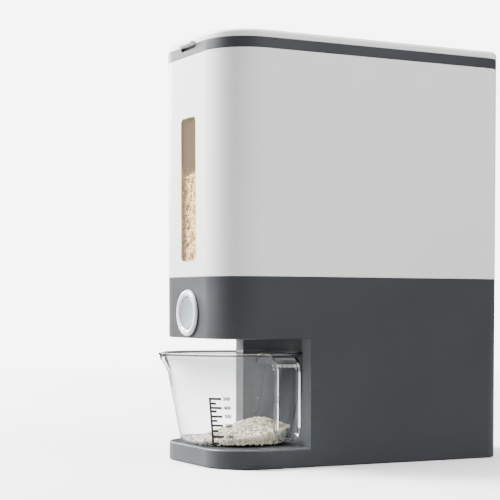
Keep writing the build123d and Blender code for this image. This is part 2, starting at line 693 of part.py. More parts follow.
def hinge_barrels(spans, radius, margin):
    """Cylinders on the hinge axis over some spans, on both sides of the lid."""
    made = []
    for x0, x1 in spans:
        made += mirrored(along_x(HINGE_Y, HINGE_Z, x0 - margin, x1 + margin, radius))
    return made


def top_collar():
    """Grey frame on the tank's rim with a finger notch and the fixed hinge knuckles."""
    collar = body_ring(TANK_TOP_Z, COLLAR_TOP_Z, 0, COLLAR_BAND)
    lip_inset = WALL + COLLAR_LIP_GAP
    collar += body_ring(TANK_TOP_Z - COLLAR_LIP, TANK_TOP_Z + 1, lip_inset, lip_inset + COLLAR_LIP_T)
    front = -half_depth(COLLAR_TOP_Z)
    collar -= block(
        -NOTCH_W / 2, NOTCH_W / 2, front - 1, front + NOTCH_DEEP, COLLAR_TOP_Z - NOTCH_H, COLLAR_TOP_Z + 1
    )
    middle, outer = knuckle_spans()
    for barrel in hinge_barrels(outer, KNUCKLE_R + KNUCKLE_CLEAR, KNUCKLE_GAP):
        collar -= barrel
    web_y = HINGE_Y - KNUCKLE_R
    web = block(middle[0], middle[1], web_y, HINGE_Y, COLLAR_TOP_Z - 2 * KNUCKLE_R, COLLAR_TOP_Z)
    for piece in mirrored(web) + hinge_barrels([middle], KNUCKLE_R, 0):
        collar += piece
    for bore in hinge_barrels([middle], HINGE_PIN_R, 1):
        collar -= bore
    return collar


def lid_cover():
    """White lid shell with a finger tab and the moving hinge knuckles."""
    lid = body_block(LID_BOTTOM_Z, LID_TOP_Z, 0)
    top_edges = [e for e in lid.edges() if abs(e.center().Z - LID_TOP_Z) < 0.01]
    lid = fillet(top_edges, LID_EDGE_R)
    lid -= body_block(LID_BOTTOM_Z - 1, LID_TOP_Z - LID_T, LID_T)
    front = -half_depth(LID_BOTTOM_Z)
    tab_z = LID_BOTTOM_Z + TAB_LIFT
    tab = block(-TAB_W / 2, TAB_W / 2, front - TAB_PROUD, front + LID_T / 2, tab_z, tab_z + TAB_LID_T)
    corners = [e for e in tab.edges().filter_by(Axis.Z) if e.center().Y < front]
    lid += fillet(corners, TAB_PROUD * 0.6)
    middle, outer = knuckle_spans()
    for barrel in hinge_barrels([middle], KNUCKLE_R + KNUCKLE_CLEAR, KNUCKLE_GAP):
        lid -= barrel
    for x0, x1 in outer:
        web = block(x0, x1, HINGE_Y - HINGE_BACK - LID_T / 2, HINGE_Y, LID_BOTTOM_Z, HINGE_Z + KNUCKLE_R)
        for piece in mirrored(web):
            lid += piece
    for barrel in hinge_barrels(outer, KNUCKLE_R, 0):
        lid += barrel
    for bore in hinge_barrels(outer, HINGE_PIN_R + HINGE_PIN_RUN, 1):
        lid -= bore
    return lid


def lid_inner_panel():
    """Panel inside the lid shell with the rim that plugs the opening."""
    panel = body_block(LID_BOTTOM_Z, LID_BOTTOM_Z + PANEL_T, LID_T + PANEL_GAP)
    rim_low = LID_BOTTOM_Z - PLUG_DEEP
    panel += body_ring(rim_low, LID_BOTTOM_Z + PANEL_T / 2, PLUG_INSET, PLUG_INSET + PLUG_T)
    middle, _ = knuckle_spans()
    for barrel in hinge_barrels([middle], KNUCKLE_R + KNUCKLE_CLEAR, KNUCKLE_GAP):
        panel -= barrel
    return panel


def lid_seal():
    """Soft ring round the plug rim, just clear of the collar."""
    low = LID_BOTTOM_Z - PLUG_DEEP + SEAL_ABOVE_RIM
    return body_ring(low, low + SEAL_HEIGHT, COLLAR_BAND + SEAL_GAP, PLUG_INSET)


def lid_hinge_pins():
    """One plain pin through each hinge."""
    _, outer = knuckle_spans()
    return mirrored(along_x(HINGE_Y, HINGE_Z, outer[0][0], outer[1][1], HINGE_PIN_R))


# ---------------------------------------------------------------- cup
def cup_wall_radius(z):
    """Outer radius of the cup's straight wall at a height."""
    return CUP_BASE_R + (CUP_RIM_R - CUP_BASE_R) * (z - CUP_BASE_Z) / (CUP_TOP_Z - CUP_BASE_Z)


def cup_block(inset, floor_z):
    """The cup's round form, drawn in by inset, from a floor height to the rim."""
    base_r = cup_wall_radius(floor_z) - inset
    side = make_face(
        Polyline((0, floor_z), (base_r, floor_z), (CUP_RIM_R - inset, CUP_TOP_Z), (0, CUP_TOP_Z), close=True)
    )
    corner = [v for v in side.vertices() if abs(v.X - base_r) < 0.001]
    profile = fillet(corner, CUP_CORNER_R - inset)
    return Pos(0, CUP_Y, 0) * revolve(Plane.XZ * profile, Axis.Z)


def spout_block(inset):
    """Cone that widens the front of the rim into a pouring lip."""
    low_y = CUP_Y - cup_wall_radius(SPOUT_START_Z) + SPOUT_START_R
    high_y = CUP_Y - CUP_RIM_R - SPOUT_REACH + SPOUT_R
    low = Plane.XY.offset(SPOUT_START_Z) * Pos(0, low_y) * Circle(SPOUT_START_R - inset)
    high = Plane.XY.offset(CUP_TOP_Z) * Pos(0, high_y) * Circle(SPOUT_R - inset)
    return loft([low, high], ruled=True)


def rim_bead():
    """Rounded bead round the rim, cut flat with the rim's top."""
    middle_z = CUP_TOP_Z - CUP_BEAD_R / 2
    disc = Pos(CUP_RIM_R - CUP_BEAD_R / 2, middle_z) * Circle(CUP_BEAD_R)
    above = Pos(CUP_RIM_R, CUP_TOP_Z + CUP_BEAD_R) * Rectangle(4 * CUP_BEAD_R, 2 * CUP_BEAD_R)
    return Pos(0, CUP_Y, 0) * revolve(Plane.XZ * (disc - above), Axis.Z)


def cup_bowl():
    """Clear bowl with a spout at the front and a bead round its rim."""
    bowl = cup_block(0, CUP_BASE_Z) + rim_bead() + spout_block(0)
    hollow = cup_block(CUP_WALL, CUP_BASE_Z + CUP_FLOOR_T) + spout_block(CUP_WALL)
    return bowl - hollow


def handle_side(depth):
    """Side view of the handle strap, of a depth measured in from its outer face."""
    top = CUP_TOP_Z - HANDLE_TOP_DROP
    bend = HANDLE_BEND_R
    arc_mid = bend * (1 - cos(radians(45)))
    outer = [
        Line((0, top), (HANDLE_REACH - bend, top)),
        ThreePointArc(
            (HANDLE_REACH - bend, top), (HANDLE_REACH - arc_mid, top - arc_mid), (HANDLE_REACH, top - bend)
        ),
        Line((HANDLE_REACH, top - bend), (HANDLE_REACH, HANDLE_END_Z)),
        Line((HANDLE_REACH, HANDLE_END_Z), (HANDLE_REACH - depth, HANDLE_END_Z)),
        Line((HANDLE_REACH - depth, HANDLE_END_Z), (HANDLE_REACH - depth, top - bend)),
    ]
    inner_bend = bend - depth
    inner_mid = inner_bend * cos(radians(45))
    centre_x, centre_z = HANDLE_REACH - bend, top - bend
    outer.append(
        ThreePointArc(
            (HANDLE_REACH - depth, top - bend),
            (centre_x + inner_mid, centre_z + inner_mid),
            (HANDLE_REACH - bend, top - depth),
        )
    )
    outer.append(Line((HANDLE_REACH - bend, top - depth), (0, top - depth)))
    outer.append(Line((0, top - depth), (0, top)))
    return make_face(outer)


def tongue(inset):
    """Front view of the strap: a band with a half-round lower end."""
    half = HANDLE_W / 2 - inset
    low = HANDLE_END_Z + HANDLE_W / 2
    band = block(-FAR, FAR, CUP_Y - half, CUP_Y + half, low, CUP_TOP_Z + 1)
    return band + along_x(CUP_Y, low, -FAR, FAR, half)


def cup_handle():
    """Clear channel strap: a thin web with a rib round its edge, open towards the cup."""
    def slab(depth):
        return Pos(0, CUP_Y, 0) * extrude(Plane.XZ * handle_side(depth), amount=HANDLE_W / 2, both=True)
    strap = slab(HANDLE_DEPTH) & tongue(0)
    pocket = (slab(HANDLE_DEPTH) - slab(HANDLE_WEB)) & tongue(HANDLE_RIB)
    return strap - pocket - cup_block(0, CUP_BASE_Z) - rim_bead()


# ---------------------------------------------------------------- written out
def as_node(shapes):
    """One shape, or a group of separate solids, ready to be written."""
    if isinstance(shapes, list):
        return Compound(children=[s for shape in shapes for s in shape.solids()])
    return shapes


NODES = {
    "base_housing": base_housing,
    "base_bottom_cover": base_bottom_cover,
    "anti_slip_pad": anti_slip_pad,
    "cover_screws": cover_screws,
    "tank_shell": tank_shell,
    "tank_screws": tank_screws,
    "window_pane": window_pane,
    "hopper": hopper,
    "outlet_chute": outlet_chute,
    "gate_frame": gate_frame,
    "gate_pivot_pins": gate_pivot_pins,
    "rice_gate": rice_gate,
    "button_bezel": button_bezel,
    "button_cap": button_cap,
    "push_yoke": push_yoke,
    "rod_guide": rod_guide,
    "mechanism_screws": mechanism_screws,
    "return_spring": return_spring,
    "top_collar": top_collar,
    "lid_cover": lid_cover,
    "lid_inner_panel": lid_inner_panel,
    "lid_seal": lid_seal,
    "lid_hinge_pins": lid_hinge_pins,
    "cup_bowl": cup_bowl,
    "cup_handle": cup_handle,
}

os.makedirs("parts", exist_ok=True)
for name, make in NODES.items():
    export_step(as_node(make()), f"parts/{name}.step")
print(f"gate swing {GATE_SWING_DEG:.3f} degrees, crank radius {CRANK_R:.3f} mm")
print(f"gate turn per button travel {radians(GATE_SWING_DEG) / (STROKE / 1000):.4f} rad/m")
print(f"hinge axis y {HINGE_Y:.3f} z {HINGE_Z:.3f}")
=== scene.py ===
"""Countertop rice dispenser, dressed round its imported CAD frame.

Every length is in metres, in the frame's own axes: -Y is the front with the button and the
level window, +X the side that the cup's handle points to, and +Z is up.
"""

import json
import logging
from contextlib import contextmanager
from dataclasses import dataclass, field
from enum import Enum
from math import atan2, ceil, cos, degrees, pi, radians, sin, sqrt, tan
from random import Random
from typing import Callable, Iterator, Sequence

import bmesh
import bpy
from bpy.types import Material, Node, NodeSocket, Object, ShaderNodeTree
from mathutils import Euler, Matrix, Vector


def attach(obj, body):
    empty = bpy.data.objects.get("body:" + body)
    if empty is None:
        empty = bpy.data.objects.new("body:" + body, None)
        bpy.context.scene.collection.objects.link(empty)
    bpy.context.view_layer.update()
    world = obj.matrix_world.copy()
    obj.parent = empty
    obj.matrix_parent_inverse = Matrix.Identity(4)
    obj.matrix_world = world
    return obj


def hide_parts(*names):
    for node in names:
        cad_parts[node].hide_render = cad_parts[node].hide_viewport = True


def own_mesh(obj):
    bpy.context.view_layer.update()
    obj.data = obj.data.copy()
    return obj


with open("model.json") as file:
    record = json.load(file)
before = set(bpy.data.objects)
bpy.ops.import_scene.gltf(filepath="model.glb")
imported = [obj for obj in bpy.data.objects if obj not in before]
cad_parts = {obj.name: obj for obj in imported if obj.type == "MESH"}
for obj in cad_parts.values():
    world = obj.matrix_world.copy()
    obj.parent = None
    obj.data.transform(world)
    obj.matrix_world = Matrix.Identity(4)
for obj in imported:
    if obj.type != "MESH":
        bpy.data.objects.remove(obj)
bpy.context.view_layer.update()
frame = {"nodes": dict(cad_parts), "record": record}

LOG = logging.getLogger("rice_dispenser")

MM = 0.001
TINY = 0.02 * MM
Point = tuple[float, float, float]
Pairs = tuple[tuple[float, float], ...]
Profile = list[tuple[float, float]]

SPLIT_Z = 172.8 * MM
COLLAR_Z = 378.4 * MM
BUTTON_Z = 139.3 * MM
CUP_Y = -101.5 * MM
OUTLET_Y = -90.0 * MM


class Body(str, Enum):
    """The CAD bodies that the pieces ride on."""

    ROOT = "root"
    LID = "lid"
    BUTTON = "button"
    CUP = "cup"


class Slot(str, Enum):
    """The record's material slots."""

    GREY = "grey_plastic"
    GREY_PLAIN = "grey_plastic_plain"
    WHITE = "white_plastic"
    WHITE_PLAIN = "white_plastic_plain"
    WHITE_GLOSS = "white_gloss"
    BUTTON = "button_blue_grey"
    MECHANISM = "mechanism_plastic"
    PANE = "clear_plastic"
    CUP = "cup_clear"
    PAD = "pad_rubber"
    SEAL = "seal_rubber"
    SCREW = "screw_steel"
    SPRING = "spring_steel"


class Pick(str, Enum):
    """What a selection in edit mode is made of."""

    POINTS = "VERT"
    EDGES = "EDGE"
    FACES = "FACE"


class Cut(str, Enum):
    """How one solid changes another."""

    AWAY = "DIFFERENCE"
    TOGETHER = "UNION"
    SHARED = "INTERSECT"


# ------------------------------------------------------------------ modelling by hand
def choose(obj: Object) -> None:
    """Make one object the only selected one, and the active one.

    Args:
        obj: the object to work on.
    """
    bpy.ops.object.select_all(action="DESELECT")
    obj.select_set(True)
    bpy.context.view_layer.objects.active = obj


@contextmanager
def editing(obj: Object) -> Iterator[None]:
    """Hold an object in edit mode for the length of a block.

    Args:
        obj: the mesh object to edit.
    """
    choose(obj)
    bpy.ops.object.mode_set(mode="EDIT")
    bpy.ops.mesh.select_all(action="DESELECT")
    try:
        yield
    finally:
        bpy.ops.object.mode_set(mode="OBJECT")


def pick(obj: Object, kind: Pick, test: Callable[..., bool]) -> int:
    """Select, in edit mode, the parts of one kind that pass a test.

    Args:
        obj: the mesh object in edit mode.
        kind: points, edges or faces.
        test: says whether a part is wanted.

    Returns:
        How many parts were selected.
    """
    bpy.ops.mesh.select_mode(type=kind.value)
    bpy.ops.mesh.select_all(action="DESELECT")
    mesh = bmesh.from_edit_mesh(obj.data)
    parts = {Pick.POINTS: mesh.verts, Pick.EDGES: mesh.edges, Pick.FACES: mesh.faces}[kind]
    wanted = [part for part in parts if test(part)]
    for part in wanted:
        part.select_set(True)
    bmesh.update_edit_mesh(obj.data)
    return len(wanted)


def round_edges(obj: Object, test: Callable[..., bool], width: float, steps: int) -> None:
    """Bevel the edges that pass a test.

    Args:
        obj: the mesh object.
        test: says whether an edge is wanted.
        width: how far the bevel reaches from the edge.
        steps: how many segments it has.
    """
    with editing(obj):
        if pick(obj, Pick.EDGES, test):
            bpy.ops.mesh.bevel(offset=width, segments=steps, affect="EDGES", clamp_overlap=False)


def along(edge: bmesh.types.BMEdge, axis: int) -> bool:
    """Whether an edge runs along one of the axes.

    Args:
        edge: the edge.
        axis: 0, 1 or 2 for X, Y or Z.

    Returns:
        True if it does.
    """
    way = (edge.verts[1].co - edge.verts[0].co).normalized()
    return abs(way[axis]) > 0.999


def new_box(name: str, low: Point, high: Point) -> Object:
    """Add a box between two corners.

    Args:
        name: the object's name.
        low: its lowest corner.
        high: its highest corner.

    Returns:
        The new object, at the origin.
    """
    bpy.ops.object.select_all(action="DESELECT")
    a, b = Vector(low), Vector(high)
    bpy.ops.mesh.primitive_cube_add(size=1.0, location=(a + b) / 2)
    obj = bpy.context.object
    obj.name = obj.data.name = name
    obj.scale = b - a
    bpy.ops.object.transform_apply(location=True, rotation=True, scale=True)
    return obj


def new_rod(name: str, start: Point, end: Point, radius: float, sides: int = 48) -> Object:
    """Add a cylinder between two points.

    Args:
        name: the object's name.
        start: the middle of one end.
        end: the middle of the other end.
        radius: its radius.
        sides: how many sides it has.

    Returns:
        The new object, at the origin.
    """
    bpy.ops.object.select_all(action="DESELECT")
    a, b = Vector(start), Vector(end)
    turn = (b - a).to_track_quat("Z", "Y").to_euler()
    bpy.ops.mesh.primitive_cylinder_add(
        vertices=sides, radius=radius, depth=(b - a).length, location=(a + b) / 2, rotation=turn
    )
    obj = bpy.context.object
    obj.name = obj.data.name = name
    bpy.ops.object.transform_apply(location=True, rotation=True, scale=True)
    return obj


def apply(obj: Object, kind: str, **settings: object) -> None:
    """Add a modifier to an object, set it and apply it.

    Args:
        obj: the mesh object.
        kind: the modifier's type.
        settings: the values to set on it.
    """
    choose(obj)
    modifier = obj.modifiers.new(kind.lower(), kind)
    for key, value in settings.items():
        setattr(modifier, key, value)
    bpy.ops.object.modifier_apply(modifier=modifier.name)


def discard(obj: Object) -> None:
    """Delete a helper object and its mesh."""
    mesh = obj.data
    bpy.data.objects.remove(obj)
    bpy.data.meshes.remove(mesh)


def combine(obj: Object, tool: Object, how: Cut) -> None:
    """Change a solid by another one, which is used up.

    Args:
        obj: the solid that stays.
        tool: the solid that cuts it, joins it or bounds it.
        how: what the tool does.
    """
    apply(obj, "BOOLEAN", object=tool, operation=how.value, solver="EXACT")
    discard(tool)


def clean(obj: Object) -> None:
    """Merge points that lie on each other and drop the seams that joining left in flat faces."""
    with editing(obj):
        bpy.ops.mesh.select_all(action="SELECT")
        bpy.ops.mesh.remove_doubles(threshold=TINY / 2)
        bpy.ops.mesh.fill_holes(sides=4)
        bpy.ops.mesh.select_all(action="SELECT")
        bpy.ops.mesh.dissolve_limited(angle_limit=radians(0.3))


def lathe(name: str, profile: Profile, centre: Point, axis: Point, steps: int) -> Object:
    """Draw a side view point by point and spin it once round an axis.

    Args:
        name: the object's name.
        profile: points as (radius, distance along the axis); a wall's outline ends where it starts.
        centre: the point on the axis that distances count from.
        axis: (0, 0, 1) or (0, 1, 0).
        steps: how many steps the turn has.

    Returns:
        The new object, closed and with its faces outwards.
    """
    def place(radius: float, height: float) -> Vector:
        """Where a point of the side view stands."""
        return Vector(centre) + Vector((radius, 0, 0)) + height * Vector(axis)

    bpy.ops.object.select_all(action="DESELECT")
    bpy.ops.mesh.primitive_plane_add(size=MM)
    obj = bpy.context.object
    obj.name = obj.data.name = name
    at = place(*profile[0])
    with editing(obj):
        bpy.ops.mesh.select_mode(type=Pick.POINTS.value)
        bpy.ops.mesh.select_all(action="SELECT")
        bpy.ops.mesh.merge(type="CENTER")
        bpy.ops.transform.translate(value=at)
        for radius, height in profile[1:]:
            to = place(radius, height)
            bpy.ops.mesh.extrude_region_move(TRANSFORM_OT_translate={"value": to - at})
            at = to
        bpy.ops.mesh.select_all(action="SELECT")
        bpy.ops.mesh.spin(steps=steps, angle=2 * pi, center=centre, axis=axis)
        bpy.ops.mesh.select_all(action="SELECT")
        bpy.ops.mesh.remove_doubles(threshold=TINY / 4)
        bpy.ops.mesh.normals_make_consistent(inside=False)
    return obj


def arc(middle: tuple[float, float], radius: float, start: float, end: float, steps: int) -> Profile:
    """Points on an arc of a side view, both ends included.

    Args:
        middle: the arc's centre.
        radius: its radius.
        start: its first angle in degrees.
        end: its last angle in degrees.
        steps: how many steps it has.

    Returns:
        The points in order.
    """
    angles = [radians(start + (end - start) * i / steps) for i in range(steps + 1)]
    return [(middle[0] + radius * cos(a), middle[1] + radius * sin(a)) for a in angles]


def offsets(radius: float, height: float, pairs: Pairs) -> Profile:
    """Points of a side view, given in millimetres from one place.

    Args:
        radius: the place's radius.
        height: its distance along the axis.
        pairs: how far out and how far along each point lies from it.

    Returns:
        The points in order.
    """
    return [(radius + out * MM, height + onward * MM) for out, onward in pairs]


def smooth(obj: Object, angle: float = 30.0) -> None:
    """Shade a piece smooth up to an angle, with the flats kept flat.

    Args:
        obj: the mesh object.
        angle: the largest angle in degrees that is smoothed over.
    """
    choose(obj)
    bpy.ops.object.shade_smooth_by_angle(angle=radians(angle))
    apply(obj, "WEIGHTED_NORMAL", keep_sharp=True)


def dress(obj: Object, material: Material, body: Body, slot: Slot | None, *nodes: str) -> Object:
    """Give a finished piece its material, its body and the CAD nodes that it stands for.

    Args:
        obj: the piece.
        material: its finish.
        body: the body that it rides on.
        slot: the record's slot that the finish belongs to; not used.
        nodes: the CAD nodes that it replaces.

    Returns:
        The piece.
    """
    obj.data.materials.clear()
    obj.data.materials.append(material)
    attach(obj, body.value)
    if nodes:
        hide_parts(*nodes)
    LOG.info("%s: %d faces, rides on %s", obj.name, len(obj.data.polygons), body.value)
    return obj


# ------------------------------------------------------------------ the body's drafted form
@dataclass(frozen=True)
class BodyForm:
    """The upright block that all outer shells are slices of: round in front, wider at the top."""

    width: float = 150.5 * MM
    depth: float = 299.6 * MM
    draft: float = 0.41
    front_radius: float = 41.0 * MM
    rear_radius: float = 18.0 * MM
    front_steps: int = 24
    rear_steps: int = 12
    low: float = -10.0 * MM
    high: float = 410.0 * MM

    def lean(self, z: float) -> float:
        """How far a wall stands out at a height, past its place at the foot."""
        return z * tan(radians(self.draft))

    def half_width(self, z: float) -> float:
        """Half the width at a height."""
        return self.width / 2 + self.lean(z)

    def half_depth(self, z: float) -> float:
        """Half the depth at a height."""
        return self.depth / 2 + self.lean(z)

    def block(self, name: str, bottom: float, top: float, inset: float = 0.0) -> Object:
        """Cut a slice of the block between two heights.

        Args:
            name: the object's name.
            bottom: the slice's lower height.
            top: its upper height.
            inset: how far its walls are drawn in.

        Returns:
            The slice, closed at both ends.
        """
        wide, deep = self.half_width(self.low) - inset, self.half_depth(self.low) - inset
        obj = new_box(name, (-wide, -deep, self.low), (wide, deep, self.high))

        def corner(edge: bmesh.types.BMEdge, front: bool) -> bool:
            """True for an upright corner edge at the front or at the rear."""
            here = edge.verts[0].co
            outmost = abs(here.x) > wide - TINY and abs(here.y) > deep - TINY
            return along(edge, 2) and outmost and (here.y < 0) == front

        round_edges(obj, lambda e: corner(e, True), self.front_radius - inset, self.front_steps)
        round_edges(obj, lambda e: corner(e, False), self.rear_radius - inset, self.rear_steps)
        with editing(obj):
            pick(obj, Pick.FACES, lambda f: all(v.co.z > self.high - TINY for v in f.verts))
            grow = (
                (self.half_width(self.high) - inset) / wide,
                (self.half_depth(self.high) - inset) / deep,
                1.0,
            )
            bpy.ops.transform.resize(value=grow, center_override=(0, 0, self.high))
            for height, side in ((bottom, "clear_inner"), (top, "clear_outer")):
                bpy.ops.mesh.select_all(action="SELECT")
                bpy.ops.mesh.bisect(
                    plane_co=(0, 0, height), plane_no=(0, 0, 1), use_fill=True, **{side: True}
                )
        return obj

    def shell(
        self, name: str, bottom: float, top: float, wall: float, rims: Sequence[float], rim: float
    ) -> Object:
        """Make an open ring with a wall, its outer rims rounded.

        Args:
            name: the object's name.
            bottom: its lower height.
            top: its upper height.
            wall: the wall's thickness.
            rims: the heights whose outer rims are rounded.
            rim: how far they are rounded.

        Returns:
            The ring.
        """
        obj = self.block(name, bottom, top)
        for height in rims:
            round_edges(obj, at_height(height), rim, 3)
        combine(obj, self.block("inside", bottom - wall, top + wall, wall), Cut.AWAY)
        return obj


def at_height(z: float) -> Callable[[bmesh.types.BMEdge], bool]:
    """A test for sharp edges that lie at one height."""
    return lambda edge: all(abs(v.co.z - z) < TINY for v in edge.verts) and edge.calc_face_angle(0.0) > 0.5


def at_corner(x: float, z: float) -> Callable[[bmesh.types.BMEdge], bool]:
    """A test for the edge along Y in a block's upper corner, at an X and a height."""
    return lambda e: along(e, 1) and e.verts[0].co.x > x - TINY and e.verts[0].co.z > z - TINY


def tilted(axis: int, slope: float) -> Point:
    """The normal of a plane that is tilted along X (0) or Y (1) by a slope in degrees."""
    across, up = sin(radians(slope)), cos(radians(slope))
    return (across, 0.0, up) if axis == 0 else (0.0, across, up)


FORM = BodyForm()


@dataclass(frozen=True)
class Hinge:
    """Both hinges of the lid: where their knuckles stand on the shared axis."""

    y: float = 153.577 * MM
    z: float = 388.15 * MM
    x: float = 45.0 * MM
    radius: float = 3.0 * MM
    clear: float = 0.5 * MM
    middle: float = 14.0 * MM
    side: float = 7.0 * MM
    gap: float = 0.4 * MM
    bore: float = 1.32 * MM

    def spans(self, outer: bool) -> list[tuple[float, float]]:
        """The X spans of the middle knuckles, or of the outer ones.

        Args:
            outer: True for the lid's knuckles, False for the collar's.

        Returns:
            Spans on both sides of the lid.
        """
        half = self.middle / 2
        near, far = half + self.gap, half + self.gap + self.side
        if outer:
            one = [(-far, -near), (near, far)]
        else:
            one = [(-half, half)]
        return [(way * self.x + a, way * self.x + b) for way in (-1, 1) for a, b in one]

    def clear_for(self, obj: Object, outer: bool) -> None:
        """Cut room in a piece for the other piece's knuckles.

        Args:
            obj: the lid or the collar.
            outer: which of the knuckles need the room.
        """
        for a, b in self.spans(outer):
            left, right = (a - self.gap, self.y, self.z), (b + self.gap, self.y, self.z)
            combine(obj, new_rod("room", left, right, self.radius + self.clear), Cut.AWAY)

    def add_to(self, obj: Object, outer: bool, web_y: float, web_low: float, web_high: float) -> None:
        """Join knuckles with their webs to a piece and bore them.

        Args:
            obj: the lid or the collar.
            outer: which of the knuckles are joined to it.
            web_y: where the web starts inside the wall.
            web_low: the web's lower height.
            web_high: its upper height.
        """
        for a, b in self.spans(outer):
            knuckle = new_rod("knuckle", (a, self.y, self.z), (b, self.y, self.z), self.radius)
            combine(knuckle, new_box("web", (a, web_y, web_low), (b, self.y, web_high)), Cut.TOGETHER)
            bore = new_rod("bore", (a - MM, self.y, self.z), (b + MM, self.y, self.z), self.bore, 24)
            combine(knuckle, bore, Cut.AWAY)
            combine(obj, knuckle, Cut.TOGETHER)


HINGE = Hinge()


# ------------------------------------------------------------------ finishes
class Tree:
    """Adds and links nodes in one material or node group."""

    def __init__(self, tree: ShaderNodeTree) -> None:
        """Start on a node tree.

        Args:
            tree: the tree to build in.
        """
        self.tree = tree
        self.column = 0

    def add(self, kind: str, inputs: dict[str | int, object] | None = None, **settings: object) -> Node:
        """Add a node.

        Args:
            kind: its type without the ShaderNode prefix.
            inputs: values or sockets for its inputs.
            settings: values to set on the node itself.

        Returns:
            The node.
        """
        node = self.tree.nodes.new("ShaderNode" + kind)
        node.location = (220 * self.column, 0)
        self.column += 1
        for key, value in settings.items():
            setattr(node, key, value)
        for key, value in (inputs or {}).items():
            if isinstance(value, NodeSocket):
                self.tree.links.new(value, node.inputs[key])
            else:
                node.inputs[key].default_value = value
        return node

    def link(self, start: NodeSocket, end: NodeSocket) -> None:
        """Link an output to an input."""
        self.tree.links.new(start, end)

    def number(self, how: str, *values: float | NodeSocket) -> NodeSocket:
        """Work out a number from others, and return its socket."""
        return self.add("Math", dict(enumerate(values)), operation=how).outputs[0]

    def mix(self, share: float | NodeSocket, first: object, second: object) -> NodeSocket:
        """Mix two colours, and return the mix's socket."""
        node = self.add("Mix", {0: share, 6: first, 7: second}, data_type="RGBA")
        return node.outputs[2]

    def noise(self, at: NodeSocket, scale: float | NodeSocket, detail: float = 3.0) -> NodeSocket:
        """Add a noise texture, and return its value's socket."""
        return self.add("TexNoise", {"Vector": at, "Scale": scale, "Detail": detail}).outputs["Fac"]

    def spread(
        self, value: NodeSocket, low: float, high: float, start: float = 0.3, end: float = 0.7
    ) -> NodeSocket:
        """Stretch a value between two bounds.

        Args:
            value: the value's socket.
            low: the result where the value is at start.
            high: the result where it is at end.
            start: the value's lower bound.
            end: its upper bound.

        Returns:
            The result's socket.
        """
        inputs = {"Value": value, "From Min": start, "From Max": end, "To Min": low, "To Max": high}
        return self.add("MapRange", inputs).outputs["Result"]


def new_group(name: str, takes: dict[str, float], gives: Sequence[str]) -> tuple[Tree, Node, Node]:
    """Make a shader node group of values.

    Args:
        name: the group's name.
        takes: its inputs and their values if nothing is set; every group also takes a Vector.
        gives: its outputs.

    Returns:
        The group's tree, its input node and its output node.
    """
    group = bpy.data.node_groups.new(name, "ShaderNodeTree")
    group.interface.new_socket("Vector", in_out="INPUT", socket_type="NodeSocketVector")
    for key, value in takes.items():
        group.interface.new_socket(key, in_out="INPUT", socket_type="NodeSocketFloat").default_value = value
    for key in gives:
        group.interface.new_socket(key, in_out="OUTPUT", socket_type="NodeSocketFloat")
    return Tree(group), group.nodes.new("NodeGroupInput"), group.nodes.new("NodeGroupOutput")


class Effect(str, Enum):
    """The shared node groups."""

    GRAIN = "moulded_grain"
    DRIFT = "tone_drift"
    HANDLING = "handling_marks"
    DUST = "settled_dust"


def build_effects() -> None:
    """Make the node groups that several finishes share."""
    tree, taken, given = new_group(Effect.GRAIN.value, {"Size": 0.6, "Coarse": 0.4}, ["Height"])
    scale = tree.number("DIVIDE", 1000.0, taken.outputs["Size"])
    fine = tree.noise(taken.outputs["Vector"], scale, 2.0)
    broad = tree.noise(taken.outputs["Vector"], tree.number("MULTIPLY", scale, 0.28), 1.0)
    share = tree.number("MULTIPLY", broad, taken.outputs["Coarse"])
    tree.link(tree.number("ADD", fine, share), given.inputs["Height"])

    tree, taken, given = new_group(Effect.DRIFT.value, {"Size": 60.0}, ["Value"])
    scale = tree.number("DIVIDE", 1000.0, taken.outputs["Size"])
    slow = tree.noise(taken.outputs["Vector"], scale, 4.0)
    tree.link(tree.spread(slow, 0.0, 1.0), given.inputs["Value"])

    tree, taken, given = new_group(Effect.HANDLING.value, {"Amount": 0.5}, ["Mask"])
    smears = tree.noise(taken.outputs["Vector"], 22.0, 6.0)
    specks = tree.noise(taken.outputs["Vector"], 310.0, 2.0)
    both = tree.number("MULTIPLY", tree.spread(smears, 0.0, 1.0, 0.42, 0.68), tree.spread(specks, 0.55, 1.0))
    tree.link(tree.number("MULTIPLY", both, taken.outputs["Amount"]), given.inputs["Mask"])

    tree, taken, given = new_group(Effect.DUST.value, {"Amount": 0.3}, ["Mask"])
    facing = tree.add("SeparateXYZ", {0: tree.add("NewGeometry").outputs["Normal"]}).outputs["Z"]
    upward = tree.spread(facing, 0.0, 1.0, 0.6, 1.0)
    flecks = tree.spread(tree.noise(taken.outputs["Vector"], 130.0, 5.0), 0.0, 1.0, 0.45, 0.75)
    lying = tree.number("MULTIPLY", upward, flecks)
    tree.link(tree.number("MULTIPLY", lying, taken.outputs["Amount"]), given.inputs["Mask"])


